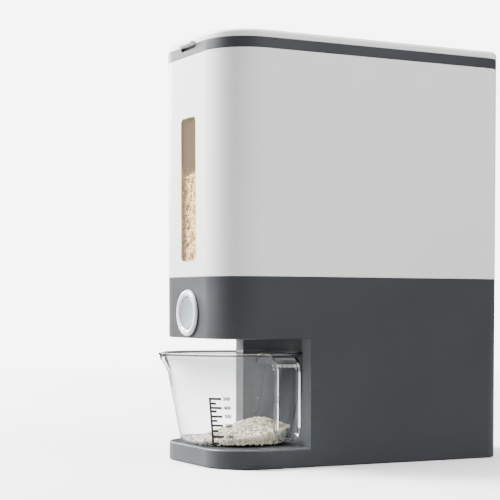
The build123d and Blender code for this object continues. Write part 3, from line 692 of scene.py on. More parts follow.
class Finish:
    """A finish that is built once as a material."""

    name: str

    def start(self) -> tuple[Tree, Node, NodeSocket]:
        """Make an empty material for this finish.

        Returns:
            Its tree, its surface shader and the coordinates that its patterns read.
        """
        material = bpy.data.materials.new(self.name)
        material.use_nodes = True
        tree = Tree(material.node_tree)
        shader = material.node_tree.nodes["Principled BSDF"]
        return tree, shader, tree.add("TexCoord").outputs["Object"]

    def relief(
        self, tree: Tree, shader: Node, height: NodeSocket, strength: float, depth: float,
        invert: bool = False,
    ) -> None:
        """Raise a pattern on the surface.

        Args:
            tree: the material's tree.
            shader: its surface shader.
            height: the pattern.
            strength: how much of it shows.
            depth: how deep it is.
            invert: whether its high places are sunk instead.
        """
        bump = tree.add("Bump", {"Height": height, "Strength": strength, "Distance": depth}, invert=invert)
        tree.link(bump.outputs["Normal"], shader.inputs["Normal"])

    def effect(self, tree: Tree, kind: Effect, at: NodeSocket, **values: float) -> NodeSocket:
        """Place a shared node group, and return its output's socket."""
        node = tree.add("Group", node_tree=bpy.data.node_groups[kind.value])
        tree.link(at, node.inputs["Vector"])
        for key, value in values.items():
            node.inputs[key].default_value = value
        return node.outputs[0]


def shade(colour: Point, factor: float) -> tuple[float, float, float, float]:
    """A colour made darker or lighter by a factor, with full alpha."""
    return (*(min(1.0, part * factor) for part in colour), 1.0)


@dataclass(frozen=True)
class MouldedPlastic(Finish):
    """Moulded plastic: a fine grain, slow changes of tone, handling marks and a little dust."""

    name: str
    colour: Point
    roughness: float
    grain: float
    depth: float
    tone: float
    marks: float = 0.12
    dust: float = 0.15
    coat: float = 0.0
    bleed: float = 0.0
    gloss: float = 0.4
    drift: float = 70.0
    unevenness: float = 0.03
    dust_colour: Point = (0.62, 0.59, 0.54)

    def build(self) -> Material:
        """Build the material."""
        tree, shader, at = self.start()
        drift = self.effect(tree, Effect.DRIFT, at, Size=self.drift)
        marks = self.effect(tree, Effect.HANDLING, at, Amount=self.marks)
        dust = self.effect(tree, Effect.DUST, at, Amount=self.dust)
        grain = self.effect(tree, Effect.GRAIN, at, Size=self.grain, Coarse=0.5)
        tone = tree.mix(drift, shade(self.colour, 1 - self.tone), shade(self.colour, 1 + self.tone))
        dusty = tree.mix(dust, tone, (*self.dust_colour, 1.0))
        tree.link(dusty, shader.inputs["Base Color"])
        low, high = self.roughness - self.unevenness, self.roughness + self.unevenness
        rough = tree.number("ADD", tree.spread(drift, low, high, 0.0, 1.0), marks)
        tree.link(rough, shader.inputs["Roughness"])
        self.relief(tree, shader, grain, 0.5, self.depth * MM)
        shader.inputs["Specular IOR Level"].default_value = self.gloss
        shader.inputs["Coat Weight"].default_value = self.coat
        shader.inputs["Coat Roughness"].default_value = 0.12
        if self.bleed:
            shader.inputs["Subsurface Weight"].default_value = self.bleed
            shader.inputs["Subsurface Radius"].default_value = (1.0, 0.95, 0.9)
            shader.inputs["Subsurface Scale"].default_value = 0.8 * MM
        return bpy.data.materials[self.name]


@dataclass(frozen=True)
class ClearPlastic(Finish):
    """Clear styrene: slightly wavy, with faint marks, and lamps pass through it."""

    name: str
    colour: Point
    roughness: float
    wave: float
    passes: Point = (0.74, 0.76, 0.77)
    bend: float = 1.5
    clear: float = 1.0
    drift: float = 30.0
    marks: float = 0.02

    def build(self) -> Material:
        """Build the material: lamps see it as thin tinted film, so that what it covers is lit."""
        tree, shader, at = self.start()
        drift = self.effect(tree, Effect.DRIFT, at, Size=self.drift)
        marks = self.effect(tree, Effect.HANDLING, at, Amount=self.marks)
        tone = tree.mix(drift, shade(self.colour, 0.98), shade(self.colour, 1.02))
        tree.link(tone, shader.inputs["Base Color"])
        tree.link(tree.number("ADD", marks, self.roughness), shader.inputs["Roughness"])
        ripple = tree.noise(at, 45.0, 1.0)
        self.relief(tree, shader, ripple, 0.4, self.wave * MM)
        shader.inputs["Transmission Weight"].default_value = self.clear
        shader.inputs["IOR"].default_value = self.bend
        shadow = tree.add("LightPath").outputs["Is Shadow Ray"]
        through = tree.add("BsdfTransparent", {"Color": (*self.passes, 1.0)})
        both = tree.add("MixShader", {0: shadow, 1: shader.outputs[0], 2: through.outputs[0]})
        output = next(n for n in tree.tree.nodes if n.type == "OUTPUT_MATERIAL")
        tree.link(both.outputs[0], output.inputs["Surface"])
        return bpy.data.materials[self.name]


@dataclass(frozen=True)
class Rubber(Finish):
    """Dull rubber or silicone with a soft grain and dust."""

    name: str
    colour: Point
    roughness: float = 0.75
    depth: float = 0.06
    drift: float = 25.0
    dust: float = 0.5
    unevenness: float = 0.08
    dust_colour: Point = (0.5, 0.48, 0.45)

    def build(self) -> Material:
        """Build the material."""
        tree, shader, at = self.start()
        drift = self.effect(tree, Effect.DRIFT, at, Size=self.drift)
        dust = self.effect(tree, Effect.DUST, at, Amount=self.dust)
        grain = self.effect(tree, Effect.GRAIN, at, Size=0.9, Coarse=0.8)
        tone = tree.mix(drift, shade(self.colour, 0.85), shade(self.colour, 1.2))
        tree.link(tree.mix(dust, tone, (*self.dust_colour, 1.0)), shader.inputs["Base Color"])
        low, high = self.roughness - self.unevenness, self.roughness + self.unevenness
        rough = tree.spread(drift, low, high, 0.0, 1.0)
        tree.link(rough, shader.inputs["Roughness"])
        self.relief(tree, shader, grain, 0.7, self.depth * MM)
        shader.inputs["Sheen Weight"].default_value = 0.15
        return bpy.data.materials[self.name]


@dataclass(frozen=True)
class DrawnSteel(Finish):
    """Steel with fine drawing lines and a little tarnish."""

    name: str
    colour: Point
    roughness: float = 0.3
    lines: Point = (300.0, 2600.0, 2600.0)
    depth: float = 0.02
    drift: float = 9.0

    def build(self) -> Material:
        """Build the material."""
        tree, shader, at = self.start()
        run = tree.add("Mapping", {"Vector": at, "Scale": self.lines}).outputs[0]
        lines = tree.noise(run, 1.0, 3.0)
        drift = self.effect(tree, Effect.DRIFT, at, Size=self.drift)
        tone = tree.mix(drift, shade(self.colour, 0.82), shade(self.colour, 1.08))
        tree.link(tone, shader.inputs["Base Color"])
        rough = tree.spread(lines, self.roughness - 0.08, self.roughness + 0.12)
        tree.link(rough, shader.inputs["Roughness"])
        self.relief(tree, shader, lines, 0.4, self.depth * MM)
        shader.inputs["Metallic"].default_value = 1.0
        return bpy.data.materials[self.name]


@dataclass(frozen=True)
class PolishedRice(Finish):
    """Polished white rice: each grain has its own tone and a chalky or glassy patch."""

    name: str
    pale: Point
    deep: Point
    packed: bool = False
    chalk: Point = (0.88, 0.86, 0.78)
    chalky: float = 0.25
    grain_scale: float = 330.0
    packed_depth: float = 1.6 * MM
    grain_depth: float = 0.1 * MM

    def build(self) -> Material:
        """Build the material."""
        tree, shader, at = self.start()
        if self.packed:
            cells = tree.add("TexVoronoi", {"Vector": at, "Scale": self.grain_scale})
            own = tree.add("SeparateColor", {0: cells.outputs["Color"]}).outputs[0]
            height, depth = cells.outputs["Distance"], self.packed_depth
        else:
            own = tree.add("NewGeometry").outputs["Random Per Island"]
            height, depth = tree.noise(at, 900.0, 2.0), self.grain_depth
        patch = tree.noise(at, 420.0, 2.0)
        tone = tree.mix(own, (*self.deep, 1.0), (*self.pale, 1.0))
        chalky = tree.mix(tree.spread(patch, 0.0, self.chalky, 0.5, 0.7), tone, (*self.chalk, 1.0))
        tree.link(chalky, shader.inputs["Base Color"])
        tree.link(tree.spread(patch, 0.32, 0.5), shader.inputs["Roughness"])
        self.relief(tree, shader, height, 0.8, depth, invert=self.packed)
        shader.inputs["Subsurface Weight"].default_value = 0.35
        shader.inputs["Subsurface Radius"].default_value = (1.0, 0.8, 0.55)
        shader.inputs["Subsurface Scale"].default_value = 1.0 * MM
        return bpy.data.materials[self.name]


SLOT_FINISHES: dict[Slot, Finish] = {
    Slot.GREY: MouldedPlastic(
        "slate_grey_satin", (0.034, 0.037, 0.042),
        roughness=0.4, grain=0.5, depth=0.03, tone=0.05, marks=0.1, dust=0.05,
    ),
    Slot.GREY_PLAIN: MouldedPlastic(
        "dark_grey_plain", (0.06, 0.065, 0.07), roughness=0.5, grain=0.8, depth=0.05, tone=0.07
    ),
    Slot.WHITE: MouldedPlastic(
        "white_satin", (0.82, 0.82, 0.82),
        roughness=0.36, grain=0.5, depth=0.02, tone=0.012, marks=0.08, dust=0.05, bleed=0.2,
    ),
    Slot.WHITE_PLAIN: MouldedPlastic(
        "white_plain", (0.78, 0.78, 0.77),
        roughness=0.45, grain=0.8, depth=0.03, tone=0.02, marks=0.1, dust=0.1,
    ),
    Slot.WHITE_GLOSS: MouldedPlastic(
        "white_polished", (0.84, 0.85, 0.86),
        roughness=0.16, grain=0.9, depth=0.006, tone=0.01, marks=0.05, dust=0.0, coat=0.5, bleed=0.15,
    ),
    Slot.BUTTON: MouldedPlastic(
        "blue_grey_satin", (0.23, 0.285, 0.3),
        roughness=0.34, grain=0.45, depth=0.02, tone=0.03, marks=0.16, dust=0.0,
    ),
    Slot.MECHANISM: MouldedPlastic(
        "natural_acetal", (0.6, 0.6, 0.58), roughness=0.38, grain=0.9, depth=0.02, tone=0.02
    ),
    Slot.PANE: ClearPlastic(
        "smoky_pane", (1.0, 0.82, 0.56), roughness=0.03, wave=0.03, passes=(1.0, 0.95, 0.86), clear=0.955
    ),
    Slot.CUP: ClearPlastic("clear_cup", (0.97, 0.98, 0.985), roughness=0.005, wave=0.03),
    Slot.PAD: Rubber("black_rubber", (0.03, 0.03, 0.03)),
    Slot.SEAL: Rubber("grey_silicone", (0.55, 0.55, 0.55), roughness=0.6),
    Slot.SCREW: DrawnSteel("zinc_screw", (0.62, 0.62, 0.63)),
    Slot.SPRING: DrawnSteel("spring_wire", (0.55, 0.55, 0.57), roughness=0.25),
}
HANDLE_CLEAR = ClearPlastic("clear_handle", (0.93, 0.94, 0.95), roughness=0.005, wave=0.02, bend=1.22)
SCALE_INK = MouldedPlastic(
    "scale_ink", (0.01, 0.01, 0.01), roughness=0.5, grain=0.3, depth=0.01, tone=0.3, marks=0.05, dust=0.0
)
TANK_RICE = PolishedRice("rice_in_tank", (0.88, 0.85, 0.76), (0.56, 0.51, 0.4))
# The packed rice in the tank is a darker copy of the same rice: painted shade, for the rice further back and
# the shade between and under the grains.
PACKED_RICE_IN_TANK_PAINTED_SHADE = PolishedRice("rice_packed_in_tank_painted_shade", (0.52, 0.46, 0.34), (0.3, 0.25, 0.16), packed=True)
# The cup's rice, loose and packed, is a darker copy of the tank's rice: painted shade for the shaded cup, and
# the packed bed's darker tone is painted shade in the gaps between grains.
LOOSE_RICE_IN_CUP_PAINTED_SHADE = PolishedRice("rice_in_cup_painted_shade", (0.7, 0.64, 0.5), (0.3, 0.25, 0.15))
PACKED_RICE_IN_CUP_PAINTED_SHADE = PolishedRice("rice_packed_in_cup_painted_shade", (0.3, 0.25, 0.17), (0.14, 0.11, 0.06), packed=True)


class Finishes:
    """Builds each finish the first time that a piece asks for it."""

    def __init__(self) -> None:
        """Start with nothing built."""
        build_effects()
        self.made: dict[str, Material] = {}

    def of(self, finish: Finish) -> Material:
        """The material of a finish.

        Args:
            finish: the finish.

        Returns:
            Its material, built once.
        """
        if finish.name not in self.made:
            self.made[finish.name] = finish.build()
        return self.made[finish.name]

    def slot(self, slot: Slot) -> Material:
        """The material of one of the record's slots."""
        return self.of(SLOT_FINISHES[slot])

    def dress_frame(self) -> None:
        """Give every CAD node the finish of its slot."""
        for part in frame["record"]["subparts"]:
            node = frame["nodes"][part["node"]]
            node.data.materials.clear()
            node.data.materials.append(self.slot(Slot(part["material_slot"])))
            LOG.info("%s: frame node in %s", node.name, part["material_slot"])


# ------------------------------------------------------------------ tank
@dataclass
class Tank:
    """The white tank with its level window."""

    bottom: float = SPLIT_Z
    top: float = COLLAR_Z
    wall: float = 2.5 * MM
    rim: float = 0.5 * MM
    window_width: float = 32.0 * MM
    window_low: float = 187.0 * MM
    window_high: float = 321.0 * MM
    window_corner: float = 5.0 * MM
    window_lip: float = 0.35 * MM
    pane_gap: float = 0.2 * MM
    pane_sunk: float = 0.4 * MM
    pane_edge: float = 0.3 * MM
    flange: float = 3.0 * MM
    flange_depth: float = 1.5 * MM

    def window_tool(self) -> Object:
        """A block in the window's outline, to cut it through the front wall."""
        half, reach = self.window_width / 2, FORM.half_depth(self.top)
        low, high = (-half, -reach - 10 * MM, self.window_low), (half, -reach / 2, self.window_high)
        tool = new_box("window_tool", low, high)
        round_edges(tool, lambda e: along(e, 1), self.window_corner, 8)
        return tool

    def shell(self, finishes: Finishes) -> Object:
        """Build the white shell.

        Args:
            finishes: the materials.

        Returns:
            The finished piece.
        """
        rims = (self.bottom, self.top)
        obj = FORM.shell("tank_white_shell", self.bottom, self.top, self.wall, rims, self.rim)
        combine(obj, self.window_tool(), Cut.AWAY)
        half = self.window_width / 2 + TINY

        def lip(edge: bmesh.types.BMEdge) -> bool:
            """True for an outer edge of the window's opening."""
            middle = (edge.verts[0].co + edge.verts[1].co) / 2
            outside = middle.y < -FORM.half_depth(middle.z) + self.wall / 2
            inside = self.window_low - TINY < middle.z < self.window_high + TINY and abs(middle.x) < half
            return outside and inside and edge.calc_face_angle(0.0) > 0.8

        round_edges(obj, lip, self.window_lip, 3)
        smooth(obj)
        return dress(obj, finishes.slot(Slot.WHITE), Body.ROOT, Slot.WHITE, "tank_shell")

    def pane(self, finishes: Finishes) -> Object:
        """Build the clear pane: a flange behind the wall and a plug that fills the window.

        Args:
            finishes: the materials.

        Returns:
            The finished piece.
        """
        half = self.window_width / 2 + self.flange
        low, high = self.window_low - self.flange, self.window_high + self.flange
        back = -FORM.half_depth(low) + self.wall + self.flange_depth
        obj = new_box("level_window_pane", (-half, back - self.flange_depth, low), (half, back, high))
        round_edges(obj, lambda e: along(e, 1), self.window_corner + self.flange, 8)
        with editing(obj):
            pick(obj, Pick.FACES, lambda f: f.normal.y < -0.9)
            bpy.ops.mesh.inset(thickness=self.flange + self.pane_gap)
            out = self.wall - self.pane_sunk
            bpy.ops.mesh.extrude_region_move(TRANSFORM_OT_translate={"value": (0, -out, 0)})
            bpy.ops.mesh.bevel(offset=self.pane_edge, segments=2, affect="EDGES")
            pick(obj, Pick.POINTS, lambda v: v.co.z > (low + high) / 2)
            lean = FORM.lean(high) - FORM.lean(low)
            bpy.ops.transform.translate(value=(0, -lean, 0))
        smooth(obj)
        return dress(obj, finishes.slot(Slot.PANE), Body.ROOT, Slot.PANE, "window_pane")


# ------------------------------------------------------------------ housing
@dataclass
class Housing:
    """The slate grey lower shell with the bay for the cup."""

    bottom: float = 0.8 * MM
    top: float = SPLIT_Z
    wall: float = 2.5 * MM
    ceiling: float = 3.5 * MM
    rim: float = 0.5 * MM
    lip: float = 1.6 * MM
    bay_floor: float = 17.4 * MM
    bay_ceiling: float = 116.1 * MM
    bay_edge: float = -63.0 * MM
    bay_radius: float = 71.0 * MM
    bay_middle: float = CUP_Y
    button_z: float = BUTTON_Z
    button_hole: float = 18.6 * MM
    hole_depth: float = 8.0 * MM
    spot_radius: float = 22.1 * MM
    spot_depth: float = 0.5 * MM
    outlet_y: float = OUTLET_Y
    outlet_half: tuple[float, float] = (21.7 * MM, 11.7 * MM)
    past: float = 5.0 * MM

    def bay_rod(self, grow: float, over: float) -> Object:
        """The round back of the bay as a solid.

        Args:
            grow: how far its wall and floor are moved out.
            over: how far its ceiling is moved up.

        Returns:
            The solid.
        """
        low = (0, self.bay_middle, self.bay_floor - grow)
        high = (0, self.bay_middle, self.bay_ceiling + over)
        return new_rod("bay_rod", low, high, self.bay_radius + grow, 128)

    def drill(self, obj: Object, radius: float, depth: float) -> None:
        """Drill the front wall behind the button.

        Args:
            obj: the shell.
            radius: the hole's radius.
            depth: how far it reaches in from the front face.
        """
        front = -FORM.half_depth(self.button_z)
        start, end = (0, front - self.past, self.button_z), (0, front + depth, self.button_z)
        combine(obj, new_rod("hole", start, end, radius, 96), Cut.AWAY)

    def shell(self, finishes: Finishes) -> Object:
        """Build the lower shell with its bay, button seat and outlet hole.

        Args:
            finishes: the materials.

        Returns:
            The finished piece.
        """
        far = FORM.depth
        obj = FORM.block("lower_grey_shell", self.bottom, self.top)
        combine(obj, new_box("front", (-far, -far, -far), (far, self.bay_edge, far)), Cut.AWAY)
        for low, high, lip in (
            (self.bottom, self.bay_floor, self.bay_floor),
            (self.bay_ceiling, self.top, self.bay_ceiling),
        ):
            slab = FORM.block("slab", low, high)
            round_edges(slab, at_height(lip), self.lip, 4)
            combine(slab, new_box("back", (-far, self.bay_edge, -far), (far, far, far)), Cut.AWAY)
            combine(obj, slab, Cut.TOGETHER)
        clean(obj)
        combine(obj, self.bay_rod(0.0, 0.0), Cut.AWAY)
        clean(obj)
        for height in (self.bottom, self.top):
            round_edges(obj, at_height(height), self.rim, 3)
        cavity = FORM.block("cavity", -self.past, self.top + self.past, self.wall)
        combine(cavity, self.bay_rod(self.wall, self.ceiling), Cut.AWAY)
        low, high = self.bay_floor - self.wall, self.bay_ceiling + self.ceiling
        combine(cavity, new_box("front", (-far, -far, low), (far, self.bay_edge + self.wall, high)), Cut.AWAY)
        combine(obj, cavity, Cut.AWAY)
        self.drill(obj, self.button_hole, self.hole_depth)
        self.drill(obj, self.spot_radius, self.spot_depth)
        wide, deep = self.outlet_half
        low = (-wide, self.outlet_y - deep, self.bay_ceiling - MM)
        high = (wide, self.outlet_y + deep, self.bay_ceiling + self.ceiling + MM)
        combine(obj, new_box("outlet", low, high), Cut.AWAY)
        clean(obj)
        smooth(obj)
        return dress(obj, finishes.slot(Slot.GREY), Body.ROOT, Slot.GREY, "base_housing")


# ------------------------------------------------------------------ collar and lid
@dataclass
class Collar:
    """The grey frame round the top of the tank."""

    bottom: float = COLLAR_Z
    top: float = 388.0 * MM
    band: float = 9.0 * MM
    rim: float = 0.4 * MM
    lip_inset: float = 2.7 * MM
    lip_width: float = 2.0 * MM
    lip_depth: float = 6.0 * MM
    notch: tuple[float, float, float] = (30.0 * MM, 3.8 * MM, 3.2 * MM)
    notch_corner: float = 1.2 * MM

    def build(self, finishes: Finishes) -> Object:
        """Build the frame with its finger notch and fixed knuckles.

        Args:
            finishes: the materials.

        Returns:
            The finished piece.
        """
        rims = (self.bottom, self.top)
        obj = FORM.shell("top_grey_frame", self.bottom, self.top, self.band, rims, self.rim)
        low, high = self.bottom - self.lip_depth, self.bottom + MM
        lip = FORM.block("lip", low, high, self.lip_inset)
        combine(lip, FORM.block("lip_inside", low - MM, high + MM, self.lip_inset + self.lip_width), Cut.AWAY)
        combine(obj, lip, Cut.TOGETHER)
        wide, tall, deep = self.notch
        front = -FORM.half_depth(self.top)
        start, end = (-wide / 2, front - MM, self.top - tall), (wide / 2, front + deep, self.top + MM)
        notch = new_box("notch", start, end)
        round_edges(notch, lambda e: along(e, 1) and e.verts[0].co.z < self.top, self.notch_corner, 5)
        combine(obj, notch, Cut.AWAY)
        HINGE.clear_for(obj, outer=True)
        HINGE.add_to(obj, False, HINGE.y - HINGE.radius, self.top - 2 * HINGE.radius, self.top)
        smooth(obj)
        return dress(obj, finishes.slot(Slot.GREY), Body.ROOT, Slot.GREY, "top_collar")


@dataclass
class Lid:
    """The white lid."""

    bottom: float = 388.3 * MM
    top: float = 395.5 * MM
    wall: float = 2.0 * MM
    edge: float = 3.6 * MM
    under_edge: float = 0.35 * MM
    tab: tuple[float, float, float] = (30.0 * MM, 4.2 * MM, 2.4 * MM)
    tab_lift: float = 0.4 * MM
    tab_edge: float = 0.5 * MM
    tab_corner_share: float = 0.6

    def build(self, finishes: Finishes) -> Object:
        """Build the lid's shell with its finger tab and moving knuckles.

        Args:
            finishes: the materials.

        Returns:
            The finished piece.
        """
        obj = FORM.block("lid_white_cover", self.bottom, self.top)
        round_edges(obj, at_height(self.top), self.edge, 8)
        round_edges(obj, at_height(self.bottom), self.under_edge, 2)
        combine(obj, FORM.block("inside", self.bottom - MM, self.top - self.wall, self.wall), Cut.AWAY)
        wide, proud, thick = self.tab
        front = -FORM.half_depth(self.bottom)
        low = self.bottom + self.tab_lift
        tab = new_box("tab", (-wide / 2, front - proud, low), (wide / 2, front + self.wall / 2, low + thick))

        def level(edge: bmesh.types.BMEdge) -> bool:
            """True for a level edge of the tab's front."""
            a, b = (vertex.co for vertex in edge.verts)
            return a.y < front and abs(a.z - b.z) < TINY

        corner = proud * self.tab_corner_share
        round_edges(tab, lambda e: along(e, 2) and e.verts[0].co.y < front, corner, 6)
        round_edges(tab, level, self.tab_edge, 3)
        combine(obj, tab, Cut.TOGETHER)
        HINGE.clear_for(obj, outer=False)
        web_y = FORM.half_depth(self.bottom) - self.wall / 2
        HINGE.add_to(obj, True, web_y, self.bottom, HINGE.z + HINGE.radius)
        smooth(obj)
        return dress(obj, finishes.slot(Slot.WHITE), Body.LID, Slot.WHITE, "lid_cover")


# ------------------------------------------------------------------ button
@dataclass
class Button:
    """The push button: a fixed white ring, the dished cap and the return spring."""

    z: float = BUTTON_Z
    seat: float = -150.297 * MM
    ring_radius: float = 21.5 * MM
    bore_radius: float = 15.2 * MM
    barrel_radius: float = 18.4 * MM
    barrel: float = 11.5 * MM
    proud: float = 3.9 * MM
    cap_radius: float = 14.4 * MM
    cap_sunk: float = 1.8 * MM
    cap_skirt: float = 13.0 * MM
    cap_wall: float = 2.0 * MM
    cap_face: float = 2.5 * MM
    dish: float = 1.2 * MM
    rod_radius: float = 4.0 * MM
    guide_y: float = -126.0 * MM
    stroke: float = 10.0 * MM
    ring_shoulder: Pairs = ((0.0, 2.4), (-0.12, 1.7), (-0.7, 0.9))
    ring_crest: Pairs = ((1.2, 0.2), (0.0, 0.0), (-1.2, 0.12))
    ring_mouth: Pairs = ((1.2, 0.75), (0.4, 1.3), (0.0, 2.1))
    crest_out: float = 0.4 * MM
    band_gap: float = 0.05 * MM
    band_reach: float = 0.5 * MM
    band_foot: float = 0.3 * MM
    band_height: float = 1.6 * MM
    band_outside: Pairs = ((0.0, 0.3), (-0.15, 0.08))
    band_inside: Pairs = ((0.1, 0.0), (0.0, 0.1))
    dish_margin: float = 1.0 * MM
    dish_steps: int = 10
    cap_edge: float = 0.8 * MM
    socket_wall: float = 1.2 * MM
    socket_depth: float = 4.0 * MM
    wire: float = 0.45 * MM
    coil_radius: float = 6.2 * MM
    coil_turns: int = 6
    turn_steps: int = 28
    coil_gap: float = 0.3 * MM
    around: int = 96

    def ring(self, finishes: Finishes) -> Object:
        """Build the fixed ring with its barrel.

        Args:
            finishes: the materials.

        Returns:
            The finished piece.
        """
        front = self.seat - self.proud
        crest = (self.ring_radius + self.bore_radius) / 2 + self.crest_out
        back = self.seat + self.barrel
        profile: Profile = [(self.ring_radius, self.seat)]
        profile += offsets(self.ring_radius, front, self.ring_shoulder)
        profile += offsets(crest, front, self.ring_crest)
        profile += offsets(self.bore_radius, front, self.ring_mouth)
        profile += [(self.bore_radius, back), (self.barrel_radius, back), (self.barrel_radius, self.seat)]
        profile.append(profile[0])
        obj = lathe("button_white_ring", profile, (0, 0, self.z), (0, 1, 0), self.around)
        smooth(obj, 40.0)
        return dress(obj, finishes.slot(Slot.WHITE_GLOSS), Body.ROOT, Slot.WHITE_GLOSS, "button_bezel")

    def painted_shadow_band(self, finishes: Finishes) -> Object:
        """Build a thin dark band round the foot of the white ring: painted shadow, standing in for the shade
        in the gap between the ring and the housing.

        Args:
            finishes: the materials.

        Returns:
            The finished piece.
        """
        inner, outer = self.ring_radius + self.band_gap, self.ring_radius + self.band_reach
        front, foot = self.seat - self.band_height, self.seat + self.band_foot
        profile: Profile = [(inner, foot), (outer, foot)]
        profile += offsets(outer, front, self.band_outside)
        profile += offsets(inner, front, self.band_inside)
        profile.append(profile[0])
        obj = lathe("button_painted_shadow_band", profile, (0, 0, self.z), (0, 1, 0), self.around)
        smooth(obj, 40.0)
        # The band's dark grey plastic is painted shadow round the ring's foot.
        return dress(obj, finishes.slot(Slot.GREY_PLAIN), Body.ROOT, None)

    def cap(self, finishes: Finishes) -> Object:
        """Build the dished cap with its skirt and rod socket.

        Args:
            finishes: the materials.

        Returns:
            The finished piece.
        """
        front = self.seat - self.proud + self.cap_sunk
        reach = self.cap_radius - self.dish_margin
        profile: Profile = []
        for i in range(self.dish_steps + 1):
            radius = reach * i / self.dish_steps
            profile.append((radius, front + self.dish * (1 - (radius / reach) ** 2)))
        edge = (self.cap_radius - self.cap_edge, front + self.cap_edge)
        profile += arc(edge, self.cap_edge, -75.0, 0.0, 4)
        inner, socket = self.cap_radius - self.cap_wall, self.rod_radius + self.socket_wall
        back, skirt = front + self.cap_face, front + self.cap_skirt
        deep = back + self.socket_depth
        profile += [(self.cap_radius, skirt), (inner, skirt), (inner, back)]
        profile += [(socket, back), (socket, deep), (self.rod_radius, deep)]
        profile += [(self.rod_radius, back), (0.0, back)]
        obj = lathe("button_blue_grey_cap", profile, (0, 0, self.z), (0, 1, 0), self.around)
        smooth(obj, 35.0)
        return dress(obj, finishes.slot(Slot.BUTTON), Body.BUTTON, Slot.BUTTON, "button_cap")

    def spring(self, finishes: Finishes) -> Object:
        """Build the return spring as it stands with the button out.

        Args:
            finishes: the materials.

        Returns:
            The finished piece.
        """
        wire, steps = self.wire, self.turn_steps * self.coil_turns
        front = self.seat - self.proud + self.cap_sunk + self.cap_face + self.coil_gap + wire
        back = self.guide_y - self.coil_gap - wire
        bpy.ops.object.select_all(action="DESELECT")
        bpy.ops.mesh.primitive_circle_add(
            vertices=10, radius=wire, fill_type="NGON",
            location=(self.coil_radius, 0, 0), rotation=(pi / 2, 0, 0),
        )
        obj = bpy.context.object
        obj.name = obj.data.name = "button_return_spring"
        bpy.ops.object.transform_apply(location=True, rotation=True, scale=True)
        apply(
            obj, "SCREW", angle=2 * pi * self.coil_turns, screw_offset=back - front, axis="Z",
            steps=steps, render_steps=steps, use_smooth_shade=True,
        )
        with editing(obj):
            bpy.ops.mesh.select_all(action="SELECT")
            bpy.ops.mesh.remove_doubles(threshold=TINY / 4)
            bpy.ops.mesh.fill_holes(sides=0)
            bpy.ops.mesh.select_all(action="SELECT")
            bpy.ops.transform.rotate(value=pi / 2, orient_axis="X", center_override=(0, 0, 0))
            bpy.ops.mesh.normals_make_consistent(inside=False)
        low = min(v.co.y for v in obj.data.vertices)
        with editing(obj):
            bpy.ops.mesh.select_all(action="SELECT")
            bpy.ops.transform.translate(value=(0, front - wire - low, self.z))
        dress(obj, finishes.slot(Slot.SPRING), Body.ROOT, Slot.SPRING, "return_spring")
        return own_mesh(obj)


